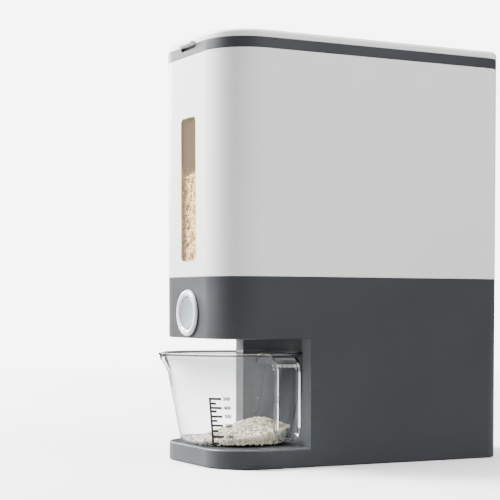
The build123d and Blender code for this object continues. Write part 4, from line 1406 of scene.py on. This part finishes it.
# ------------------------------------------------------------------ measuring cup
@dataclass
class Cup:
    """The clear measuring cup with its spout, handle and scale."""

    y: float = CUP_Y
    base_z: float = 17.6 * MM
    top_z: float = 103.0 * MM
    base_radius: float = 51.0 * MM
    rim_radius: float = 67.5 * MM
    wall: float = 2.0 * MM
    floor: float = 2.5 * MM
    corner: float = 9.0 * MM
    side_heights: tuple[int, ...] = (34, 44, 54, 62, 70, 77, 83, 89, 94, 97, 100)
    rim_edge: Pairs = (
        (66.95, 100.6), (67.5, 101.1), (68.05, 101.7), (68.2, 102.3), (67.95, 102.8), (67.3, 103.0),
        (66.0, 103.0), (65.55, 102.75), (65.4, 102.2),
    )
    rim_outside: int = 6
    spout_from: float = 97.0 * MM
    spout_reach: float = 11.2 * MM
    spout_spread: float = 29.0 * MM
    handle_reach: float = 105.0 * MM
    handle_width: float = 24.0 * MM
    handle_depth: float = 7.0 * MM
    handle_web: float = 2.0 * MM
    handle_bend: float = 15.0 * MM
    handle_top: float = 102.0 * MM
    handle_end: float = 27.5 * MM
    handle_edge: float = 0.4 * MM
    handle_root: float = 5.0 * MM
    around: int = 128

    def radius(self, z: float) -> float:
        """The outer wall's radius at a height."""
        share = (z - self.base_z) / (self.top_z - self.base_z)
        return self.base_radius + (self.rim_radius - self.base_radius) * share

    def side(self, inset: float, floor_z: float) -> Profile:
        """The side view of the round form, from the middle of its floor up to 3 mm under the rim.

        Args:
            inset: how far the wall is drawn in.
            floor_z: the height of its floor.

        Returns:
            Points as (radius, height).
        """
        lean = degrees(atan2(self.rim_radius - self.base_radius, self.top_z - self.base_z))
        bend = self.corner - inset
        start = self.radius(floor_z) - inset - bend * tan(radians((90 - lean) / 2))
        points = [(0.0, floor_z), (start * 0.5, floor_z)]
        points += arc((start, floor_z + bend), bend, -90.0, -lean, 8)
        for z in self.side_heights:
            points.append((self.radius(z * MM) - inset, z * MM))
        return points

    def rim(self) -> Profile:
        """The side view of the rim's bead, from the outer wall over to the inner wall."""
        return [(radius * MM, z * MM) for radius, z in self.rim_edge]

    def bowl(self, finishes: Finishes) -> Object:
        """Build the bowl and draw its rim out into a spout.

        Args:
            finishes: the materials.

        Returns:
            The finished piece.
        """
        inner = self.side(self.wall, self.base_z + self.floor)
        profile = self.side(0.0, self.base_z) + self.rim() + inner[::-1]
        obj = lathe("cup_clear_bowl", profile, (0, self.y, 0), (0, 0, 1), self.around)
        high = self.spout_from
        with editing(obj):
            pick(obj, Pick.POINTS, lambda v: abs(v.co.x) < TINY and v.co.y < self.y and v.co.z > high)
            bpy.ops.transform.translate(
                value=(0, -self.spout_reach, 0),
                use_proportional_edit=True,
                proportional_edit_falloff="SHARP",
                proportional_size=self.spout_spread,
            )
        smooth(obj, 50.0)
        return dress(obj, finishes.slot(Slot.CUP), Body.CUP, Slot.CUP, "cup_bowl")

    def strap(self, name: str, inset: float, start: float) -> Object:
        """A block in the handle's outline: one long bend above, a half-round end below.

        Args:
            name: the object's name.
            inset: how far its sides are drawn in.
            start: the X that it starts from.

        Returns:
            The block.
        """
        half, reach = self.handle_width / 2 - inset, self.handle_reach - inset
        low, high = self.handle_end + inset, self.handle_top - inset
        obj = new_box(name, (start, self.y - half, low), (reach, self.y + half, high))
        round_edges(obj, at_corner(reach, high), self.handle_bend - inset, 14)
        round_edges(obj, lambda e: along(e, 0) and e.verts[0].co.z < low + TINY, half - TINY, 14)
        return obj

    def handle(self, finishes: Finishes) -> Object:
        """Build the channel-shaped handle: a thin web with a rib round its edge.

        Args:
            finishes: the materials.

        Returns:
            The finished piece.
        """
        start = self.base_radius - self.handle_root
        obj = self.strap("cup_clear_handle", 0.0, start)
        far = self.handle_width
        reach, high = self.handle_reach - self.handle_depth, self.handle_top - self.handle_depth
        room = new_box("room", (0, self.y - far, 0), (reach, self.y + far, high))
        round_edges(room, at_corner(reach, high), self.handle_bend - self.handle_depth, 10)
        combine(obj, room, Cut.AWAY)
        combine(obj, self.strap("pocket", self.handle_web, start - MM), Cut.AWAY)
        solid = self.side(0.0, self.base_z) + self.rim()[:self.rim_outside] + [(0.0, self.top_z)]
        combine(obj, lathe("bowl_form", solid, (0, self.y, 0), (0, 0, 1), self.around), Cut.AWAY)
        apply(obj, "BEVEL", width=self.handle_edge, segments=2, limit_method="ANGLE", angle_limit=radians(40))
        smooth(obj, 40.0)
        return dress(obj, finishes.of(HANDLE_CLEAR), Body.CUP, Slot.CUP, "cup_handle")


@dataclass
class CupScale:
    """The black scale printed on the cup: a line, ticks and plain numbers."""

    cup: Cup
    long_ticks: dict[str, float] = field(
        default_factory=lambda: {"500": 62.1, "400": 53.9, "300": 46.0, "200": 37.7, "100": 27.5}
    )
    short_ticks: tuple[float, ...] = (57.8, 50.7, 42.1, 32.7, 21.3)
    long: float = 11.8 * MM
    short: float = 6.8 * MM
    upright_angle: float = -50.7
    line_width: float = 2.1 * MM
    thick: float = 0.12 * MM
    lift: float = 0.03 * MM
    text_size: float = 4.2 * MM
    text_weight: float = 0.2 * MM
    text_gap: float = 1.9 * MM

    def bar(self, left: float, right: float, low: float, high: float) -> Object:
        """A flat bar of the print, fine enough to wrap on the wall."""
        bpy.ops.object.select_all(action="DESELECT")
        wide, tall = right - left, high - low
        bpy.ops.mesh.primitive_grid_add(
            x_subdivisions=max(1, ceil(wide / MM)), y_subdivisions=max(1, ceil(tall / (2 * MM))), size=1.0,
            location=((left + right) / 2, (low + high) / 2, 0),
        )
        obj = bpy.context.object
        obj.scale = (wide, tall, 1)
        bpy.ops.object.transform_apply(location=True, rotation=True, scale=True)
        return obj

    def figure(self, text: str, left: float, middle: float) -> Object:
        """A plain number of the print, as a mesh."""
        bpy.ops.object.select_all(action="DESELECT")
        bpy.ops.object.text_add()
        obj = bpy.context.object
        obj.data.body = text
        obj.data.size = self.text_size
        obj.data.align_y = "CENTER"
        obj.data.offset = self.text_weight
        choose(obj)
        bpy.ops.object.convert(target="MESH")
        obj = bpy.context.object
        obj.location = (left, middle, 0)
        bpy.ops.object.transform_apply(location=True, rotation=True, scale=True)
        return obj

    def wrap(self, across: float, z: float) -> Vector:
        """Where a point of the flat print lies on the cup's wall."""
        radius = self.cup.radius(z) + self.lift
        angle = radians(self.upright_angle) + across / radius
        return Vector((radius * cos(angle), self.cup.y + radius * sin(angle), z))

    def build(self, ink: Material) -> Object:
        """Build the print as one thin piece.

        Args:
            ink: its material.

        Returns:
            The finished piece.
        """
        half = self.line_width / 2
        low, high = min(self.short_ticks) * MM, max(self.long_ticks.values()) * MM
        parts = [self.bar(0.0, self.line_width, low - half, high + half)]
        for z in self.long_ticks.values():
            parts.append(self.bar(self.line_width, self.long, z * MM - half, z * MM + half))
        for z in self.short_ticks:
            parts.append(self.bar(self.line_width, self.short, z * MM - half, z * MM + half))
        text_x = self.long + self.text_gap
        parts += [self.figure(text, text_x, z * MM) for text, z in self.long_ticks.items()]
        bpy.ops.object.select_all(action="DESELECT")
        for part in parts:
            part.select_set(True)
        bpy.context.view_layer.objects.active = parts[0]
        bpy.ops.object.join()
        obj = bpy.context.object
        obj.name = obj.data.name = "cup_scale_print"
        for vertex in obj.data.vertices:
            vertex.co = self.wrap(vertex.co.x, vertex.co.y)
        with editing(obj):
            bpy.ops.mesh.select_all(action="SELECT")
            bpy.ops.mesh.remove_doubles(threshold=TINY)
        apply(obj, "SOLIDIFY", thickness=self.thick, offset=1.0)
        return dress(obj, ink, Body.CUP, None)


# ------------------------------------------------------------------ rice
@dataclass
class Rice:
    """The rice that shows in the tank's window and in the cup."""

    cup: Cup
    length: float = 5.8 * MM
    width: float = 2.1 * MM
    front_level: float = 265.0 * MM
    crown_level: float = 286.0 * MM
    peak: Point = (12.0 * MM, -83.0 * MM, 40.5 * MM)
    heap_slope: float = 0.38
    blunt: float = 9.0 * MM
    behind_pane: float = 4.0 * MM
    front_slope: float = 28.0
    crown_slope: float = 1.5
    bed_under: float = 2.0 * MM
    bed_low: float = 156.0 * MM
    bed_high: float = 300.0 * MM
    bed_inset: float = 9.5 * MM
    throat_half: tuple[float, float] = (18.0 * MM, 8.0 * MM)
    throat_z: tuple[float, float] = (161.5 * MM, 153.0 * MM)
    top_corner: float = 32.0 * MM
    layers: int = 3
    layer_grains: int = 330
    top_grains: int = 4800
    heap_grains: int = 2300
    wall_grains: int = 900
    seed: int = 11
    grain_points: list[Vector] = field(default_factory=list)
    grain_faces: list[tuple[int, ...]] = field(default_factory=list)

    def make_grain(self) -> None:
        """Model one grain, which every grain is a copy of: a small ball, drawn out and pinched."""
        bpy.ops.object.select_all(action="DESELECT")
        bpy.ops.mesh.primitive_uv_sphere_add(segments=6, ring_count=6, radius=0.5)
        obj = bpy.context.object
        with editing(obj):
            bpy.ops.mesh.select_all(action="SELECT")
            bpy.ops.transform.resize(value=(self.width, self.width * 0.85, self.length))
            pick(obj, Pick.POINTS, lambda v: v.co.z > self.length * 0.2)
            bpy.ops.transform.resize(value=(0.82, 0.82, 1.0), center_override=(0, 0, 0))
        self.grain_points = [v.co.copy() for v in obj.data.vertices]
        self.grain_faces = [tuple(p.vertices) for p in obj.data.polygons]
        discard(obj)

    def scatter(
        self, name: str, places: list[tuple[Vector, Euler]], material: Material, body: Body
    ) -> Object:
        """Copy the grain to many places, as one piece.

        Args:
            name: the piece's name.
            places: where each grain lies and how it is turned.
            material: its finish.
            body: the body that it rides on.

        Returns:
            The finished piece.
        """
        points: list[Vector] = []
        faces: list[tuple[int, ...]] = []
        for where, turn in places:
            first = len(points)
            spin = turn.to_matrix()
            points += [spin @ point + where for point in self.grain_points]
            faces += [tuple(first + i for i in face) for face in self.grain_faces]
        mesh = bpy.data.meshes.new(name)
        mesh.from_pydata(points, [], faces)
        obj = bpy.data.objects.new(name, mesh)
        bpy.context.scene.collection.objects.link(obj)
        choose(obj)
        bpy.ops.object.shade_smooth()
        return dress(obj, material, body, None)

    def lying(self, chance: Random, up: Vector, tilt: float) -> Euler:
        """A turn that lays a grain's length in the plane that faces a direction, with a little tilt."""
        lay = Matrix.Rotation(pi / 2 + chance.uniform(-tilt, tilt), 3, "X")
        turned = Matrix.Rotation(chance.uniform(0, 2 * pi), 3, "Z") @ lay
        return (up.to_track_quat("Z", "Y").to_matrix() @ turned).to_euler()

    def top_of(self, y: float) -> float:
        """The height of the rice in the tank at a distance from the front."""
        inward = y - (-FORM.half_depth(self.front_level) + self.behind_pane)
        rise = self.front_level + inward * tan(radians(self.front_slope))
        return min(rise, self.crown_level + inward * tan(radians(self.crown_slope)))

    def tank_bed(self, material: Material) -> Object:
        """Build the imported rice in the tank: it fills the hopper and slopes up from the window."""
        obj = FORM.block("rice_bed_in_tank", self.bed_low, self.bed_high, self.bed_inset)
        front = -FORM.half_depth(self.front_level) + self.behind_pane
        wide, deep = self.throat_half
        side_z, end_z = self.throat_z
        planes = [
            ((0, OUTLET_Y - deep, end_z), tilted(1, 30.0), "clear_inner"),
            ((0, OUTLET_Y + deep, end_z), tilted(1, -25.0), "clear_inner"),
            ((wide, 0, side_z), tilted(0, -40.0), "clear_inner"),
            ((-wide, 0, side_z), tilted(0, 40.0), "clear_inner"),
            ((0, front, self.front_level - self.bed_under), tilted(1, -self.front_slope), "clear_outer"),
            ((0, front, self.crown_level - self.bed_under), tilted(1, -self.crown_slope), "clear_outer"),
        ]
        with editing(obj):
            for place, normal, side in planes:
                bpy.ops.mesh.select_all(action="SELECT")
                bpy.ops.mesh.bisect(plane_co=place, plane_no=normal, use_fill=True, **{side: True})
        smooth(obj, 20.0)
        return dress(obj, material, Body.ROOT, None)

    def tank_grains(self, material: Material) -> None:
        """Lay loose grains against the window and over the top of the rice in the tank."""
        chance = Random(self.seed)
        behind: list[tuple[Vector, Euler]] = []
        for layer in range(self.layers):
            for _ in range(self.layer_grains):
                z = chance.uniform(181 * MM, self.front_level + 3 * MM)
                x = chance.uniform(-24 * MM, 24 * MM)
                pane = -FORM.half_depth(z) + self.behind_pane
                y = pane + (1.9 + 2.1 * layer + chance.uniform(0, 0.4)) * MM
                behind.append((Vector((x, y, z)), self.lying(chance, Vector((0, -1, 0)), 0.22)))
        self.scatter("rice_behind_window", behind, material, Body.ROOT)
        above: list[tuple[Vector, Euler]] = []
        reach, bend = FORM.half_depth(self.front_level), self.top_corner
        low_y, high_y = -reach + 9 * MM, reach - 8 * MM
        wide = FORM.half_width(self.front_level) - 7 * MM
        while len(above) < self.top_grains:
            x, y = chance.uniform(-wide, wide), chance.uniform(low_y, high_y)
            dx, dy = abs(x) - (wide - bend), (low_y + bend) - y
            if dx > 0 and dy > 0 and dx * dx + dy * dy > bend ** 2:
                continue
            z = self.top_of(y) + chance.uniform(-1.4, 1.2) * MM
            above.append((Vector((x, y, z)), self.lying(chance, Vector((0, -0.1, 1)), 0.5)))
        for name, rear in (("rice_on_top_in_front", False), ("rice_on_top_behind", True)):
            self.scatter(name, [lie for lie in above if (lie[0].y > 0) == rear], material, Body.ROOT)

    def heap_at(self, x: float, y: float) -> float:
        """The height of the heap in the cup at a place."""
        away = sqrt((x - self.peak[0]) ** 2 + (y - self.peak[1]) ** 2)
        return self.peak[2] - self.heap_slope * (sqrt(away * away + self.blunt * self.blunt) - self.blunt)

    def cup_bed(self, material: Material) -> Object:
        """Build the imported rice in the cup: the cup's inside under a leaning heap."""
        inner = self.cup.side(self.cup.wall + 1.2 * MM, self.cup.base_z + self.cup.floor + 0.3 * MM)
        profile = inner + [(0.0, inner[-1][1])]
        obj = lathe("rice_bed_in_cup", profile, (0, self.cup.y, 0), (0, 0, 1), 64)
        reach = 160 * MM
        bpy.ops.object.select_all(action="DESELECT")
        bpy.ops.mesh.primitive_cone_add(
            vertices=64, radius1=reach, depth=reach * self.heap_slope,
            location=(self.peak[0], self.peak[1], self.peak[2] - 1.5 * MM - reach * self.heap_slope / 2),
        )
        heap = bpy.context.object
        bpy.ops.object.transform_apply(location=True, rotation=True, scale=True)
        combine(obj, heap, Cut.SHARED)
        smooth(obj, 35.0)
        return dress(obj, material, Body.CUP, None)

    def cup_grains(self, material: Material) -> None:
        """Lay loose grains over the heap and against the cup's wall."""
        chance = Random(self.seed + 1)
        floor = self.cup.base_z + self.cup.floor
        loose: list[tuple[Vector, Euler]] = []
        while len(loose) < self.heap_grains:
            angle, share = chance.uniform(0, 2 * pi), sqrt(chance.random())
            radius = share * (self.cup.radius(40 * MM) - self.cup.wall - 2 * MM)
            x, y = radius * cos(angle), self.cup.y + radius * sin(angle)
            z = max(self.heap_at(x, y), floor + 1.4 * MM) + chance.uniform(-1.2, 1.2) * MM
            if radius > self.cup.radius(z) - self.cup.wall - 3.2 * MM or z < floor + 1.3 * MM:
                continue
            if self.heap_at(x, y) < floor and chance.random() > 0.04:
                continue
            lean = Vector((x - self.peak[0], y - self.peak[1], 0)) * 0.4
            up = (Vector((0, 0, 30 * MM)) + lean).normalized()
            loose.append((Vector((x, y, z)), self.lying(chance, up, 0.4)))
        self.scatter("rice_heap_in_cup", loose, material, Body.CUP)
        beside: list[tuple[Vector, Euler]] = []
        while len(beside) < self.wall_grains:
            angle = chance.uniform(0, 2 * pi)
            z = chance.uniform(floor + 1.5 * MM, 60 * MM)
            radius = self.cup.radius(z) - self.cup.wall - (1.5 + chance.uniform(0, 0.5)) * MM
            x, y = radius * cos(angle), self.cup.y + radius * sin(angle)
            if z > self.heap_at(x, y) + 0.5 * MM:
                continue
            out = Vector((cos(angle), sin(angle), -0.19))
            beside.append((Vector((x, y, z)), self.lying(chance, out, 0.12)))
        self.scatter("rice_against_cup", beside, material, Body.CUP)


# ------------------------------------------------------------------ stage
@dataclass(frozen=True)
class Lamp:
    """A soft square lamp: where it hangs, its size in metres and its power in watts."""

    name: str
    place: Point
    size: float
    power: float


LAMPS = (
    Lamp("key", (-1.7, -1.7, 1.9), 1.1, 510.0),
    Lamp("card", (-2.6, -0.6, 0.9), 0.9, 72.0),
    Lamp("side", (1.9, 0.9, 2.3), 1.4, 112.0),
    Lamp("top", (-0.2, 0.1, 2.6), 1.6, 115.0),
)


@dataclass(frozen=True)
class Studio:
    """The floor, the lamps, the surroundings and the camera."""

    lens_px: float = 1482.67
    frame_px: float = 500.0
    sensor_mm: float = 36.0
    azimuth: float = 62.6846
    elevation: float = -2.1193
    roll: float = -0.1942
    distance: float = 1446.66 * MM
    aside: float = -77.077 * MM
    above: float = 5.574 * MM
    aim_z: float = 195.0 * MM
    seen: float = 7.0
    seen_through: float = 2.2
    lights: float = 0.22
    bounce: float = 0.3
    dark_side: float = 0.25
    dark_way: Point = (0.89, -0.46, 0.0)
    floor_size: float = 14.0
    floor_near: float = 0.45
    floor_far: float = 2.2
    floor_pale: float = 0.93
    floor_roughness: float = 0.6
    lamp_aim: Point = (0, -0.02, 0.2)

    def camera(self) -> None:
        """Stand the camera where the photograph was taken from."""
        a, e, r = radians(self.azimuth), radians(self.elevation), radians(self.roll)
        back = Vector((sin(a) * cos(e), -cos(a) * cos(e), sin(e)))
        right = Vector((cos(a), sin(a), 0.0))
        down = (-back).cross(right)
        place = Vector((0, 0, self.aim_z)) + back * self.distance
        place = place + right * self.aside + Vector((0, 0, self.above))
        across = right * cos(r) + down * sin(r)
        up = right * sin(r) - down * cos(r)
        data = bpy.data.cameras.new("camera")
        data.sensor_width = self.sensor_mm
        data.lens = self.lens_px / self.frame_px * self.sensor_mm
        data.clip_start, data.clip_end = 0.05, 30.0
        obj = bpy.data.objects.new("camera", data)
        turn = Matrix((across, up, back)).transposed()
        obj.matrix_world = Matrix.Translation(place) @ turn.to_4x4()
        bpy.context.scene.collection.objects.link(obj)
        bpy.context.scene.camera = obj

    def hang(self, lamp: Lamp) -> None:
        """Hang a lamp that looks at the object."""
        data = bpy.data.lights.new(lamp.name, "AREA")
        data.shape, data.size, data.energy = "SQUARE", lamp.size, lamp.power
        obj = bpy.data.objects.new(lamp.name, data)
        aim = Vector(self.lamp_aim) - Vector(lamp.place)
        obj.matrix_world = Matrix.Translation(lamp.place) @ aim.to_track_quat("-Z", "Y").to_matrix().to_4x4()
        bpy.context.scene.collection.objects.link(obj)

    def floor(self) -> None:
        """Lay a floor: pale to look at, darker for its light on the object, and white far away."""
        bpy.ops.object.select_all(action="DESELECT")
        bpy.ops.mesh.primitive_plane_add(size=self.floor_size)
        obj = bpy.context.object
        obj.name = obj.data.name = "studio_floor"
        material = bpy.data.materials.new("pale_floor")
        material.use_nodes = True
        tree = Tree(material.node_tree)
        shader = material.node_tree.nodes["Principled BSDF"]
        looked_at = tree.number("ADD", tree.add("LightPath").outputs["Is Camera Ray"], self.through(tree))
        colours = [(grey, grey, grey, 1.0) for grey in (self.bounce, self.floor_pale)]
        tree.link(tree.mix(looked_at, *colours), shader.inputs["Base Color"])
        shader.inputs["Roughness"].default_value = self.floor_roughness
        away = tree.add("VectorMath", {0: tree.add("TexCoord").outputs["Object"]}, operation="LENGTH")
        far_share = tree.spread(away.outputs["Value"], 0.0, 1.0, self.floor_near, self.floor_far)
        white = tree.add("Emission", {"Strength": self.brightness(tree)})
        both = tree.add("MixShader", {0: far_share, 1: shader.outputs[0], 2: white.outputs[0]})
        tree.link(both.outputs[0], material.node_tree.nodes["Material Output"].inputs["Surface"])
        obj.data.materials.append(material)

    def build(self) -> None:
        """Set up the whole stage."""
        self.camera()
        self.floor()
        for lamp in LAMPS:
            self.hang(lamp)
        self.backdrop()

    def through(self, tree: Tree) -> NodeSocket:
        """1 where the surroundings are looked at through clear plastic alone, and 0 elsewhere."""
        path = tree.add("LightPath")
        others = tree.number("SUBTRACT", path.outputs["Ray Depth"], path.outputs["Transmission Depth"])
        alone = tree.number("LESS_THAN", others, 0.5)
        return tree.number("MULTIPLY", path.outputs["Is Transmission Ray"], alone)

    def brightness(self, tree: Tree) -> NodeSocket:
        """How bright the white surroundings are: to look at, through clear plastic, and as a light."""
        camera = tree.add("LightPath").outputs["Is Camera Ray"]
        straight = tree.number("MULTIPLY", camera, self.seen - self.lights)
        through = tree.number("MULTIPLY", self.through(tree), self.seen_through - self.lights)
        return tree.number("ADD", tree.number("ADD", straight, through), self.lights)

    def backdrop(self) -> None:
        """Surround the scene with white, darker on one side where it is seen through clear plastic."""
        world = bpy.data.worlds.new("studio")
        world.use_nodes = True
        tree = Tree(world.node_tree)
        shader = world.node_tree.nodes["Background"]
        around = tree.add("TexCoord").outputs["Generated"]
        way = tree.add("VectorMath", {0: around, 1: self.dark_way}, operation="DOT_PRODUCT")
        dim = tree.spread(way.outputs["Value"], 1.0, self.dark_side, -0.6, 0.2)
        bent = tree.number("MULTIPLY", self.through(tree), tree.number("SUBTRACT", 1.0, dim))
        white = tree.number("SUBTRACT", 1.0, bent)
        shader.inputs["Color"].default_value = (1.0, 1.0, 1.0, 1.0)
        tree.link(tree.number("MULTIPLY", self.brightness(tree), white), shader.inputs["Strength"])
        bpy.context.scene.world = world


def main() -> None:
    """Build the dispenser piece by piece, then its stage."""
    logging.basicConfig(level=logging.INFO, format="%(name)s: %(message)s")
    finishes = Finishes()
    finishes.dress_frame()
    Studio().build()
    tank = Tank()
    tank.shell(finishes)
    tank.pane(finishes)
    Housing().shell(finishes)
    Collar().build(finishes)
    Lid().build(finishes)
    button = Button()
    button.ring(finishes)
    # The dark band round the ring's foot is painted shadow.
    button.painted_shadow_band(finishes)
    button.cap(finishes)
    button.spring(finishes)
    cup = Cup()
    cup.bowl(finishes)
    cup.handle(finishes)
    CupScale(cup).build(finishes.of(SCALE_INK))
    rice = Rice(cup)
    rice.make_grain()
    # The tank's packed rice bed is a darker copy of the rice: painted shade.
    rice.tank_bed(finishes.of(PACKED_RICE_IN_TANK_PAINTED_SHADE))
    rice.tank_grains(finishes.of(TANK_RICE))
    # Both rice materials in the cup are darker copies of the same rice: painted shade.
    rice.cup_bed(finishes.of(PACKED_RICE_IN_CUP_PAINTED_SHADE))
    rice.cup_grains(finishes.of(LOOSE_RICE_IN_CUP_PAINTED_SHADE))


if __name__ == "__main__":
    main()
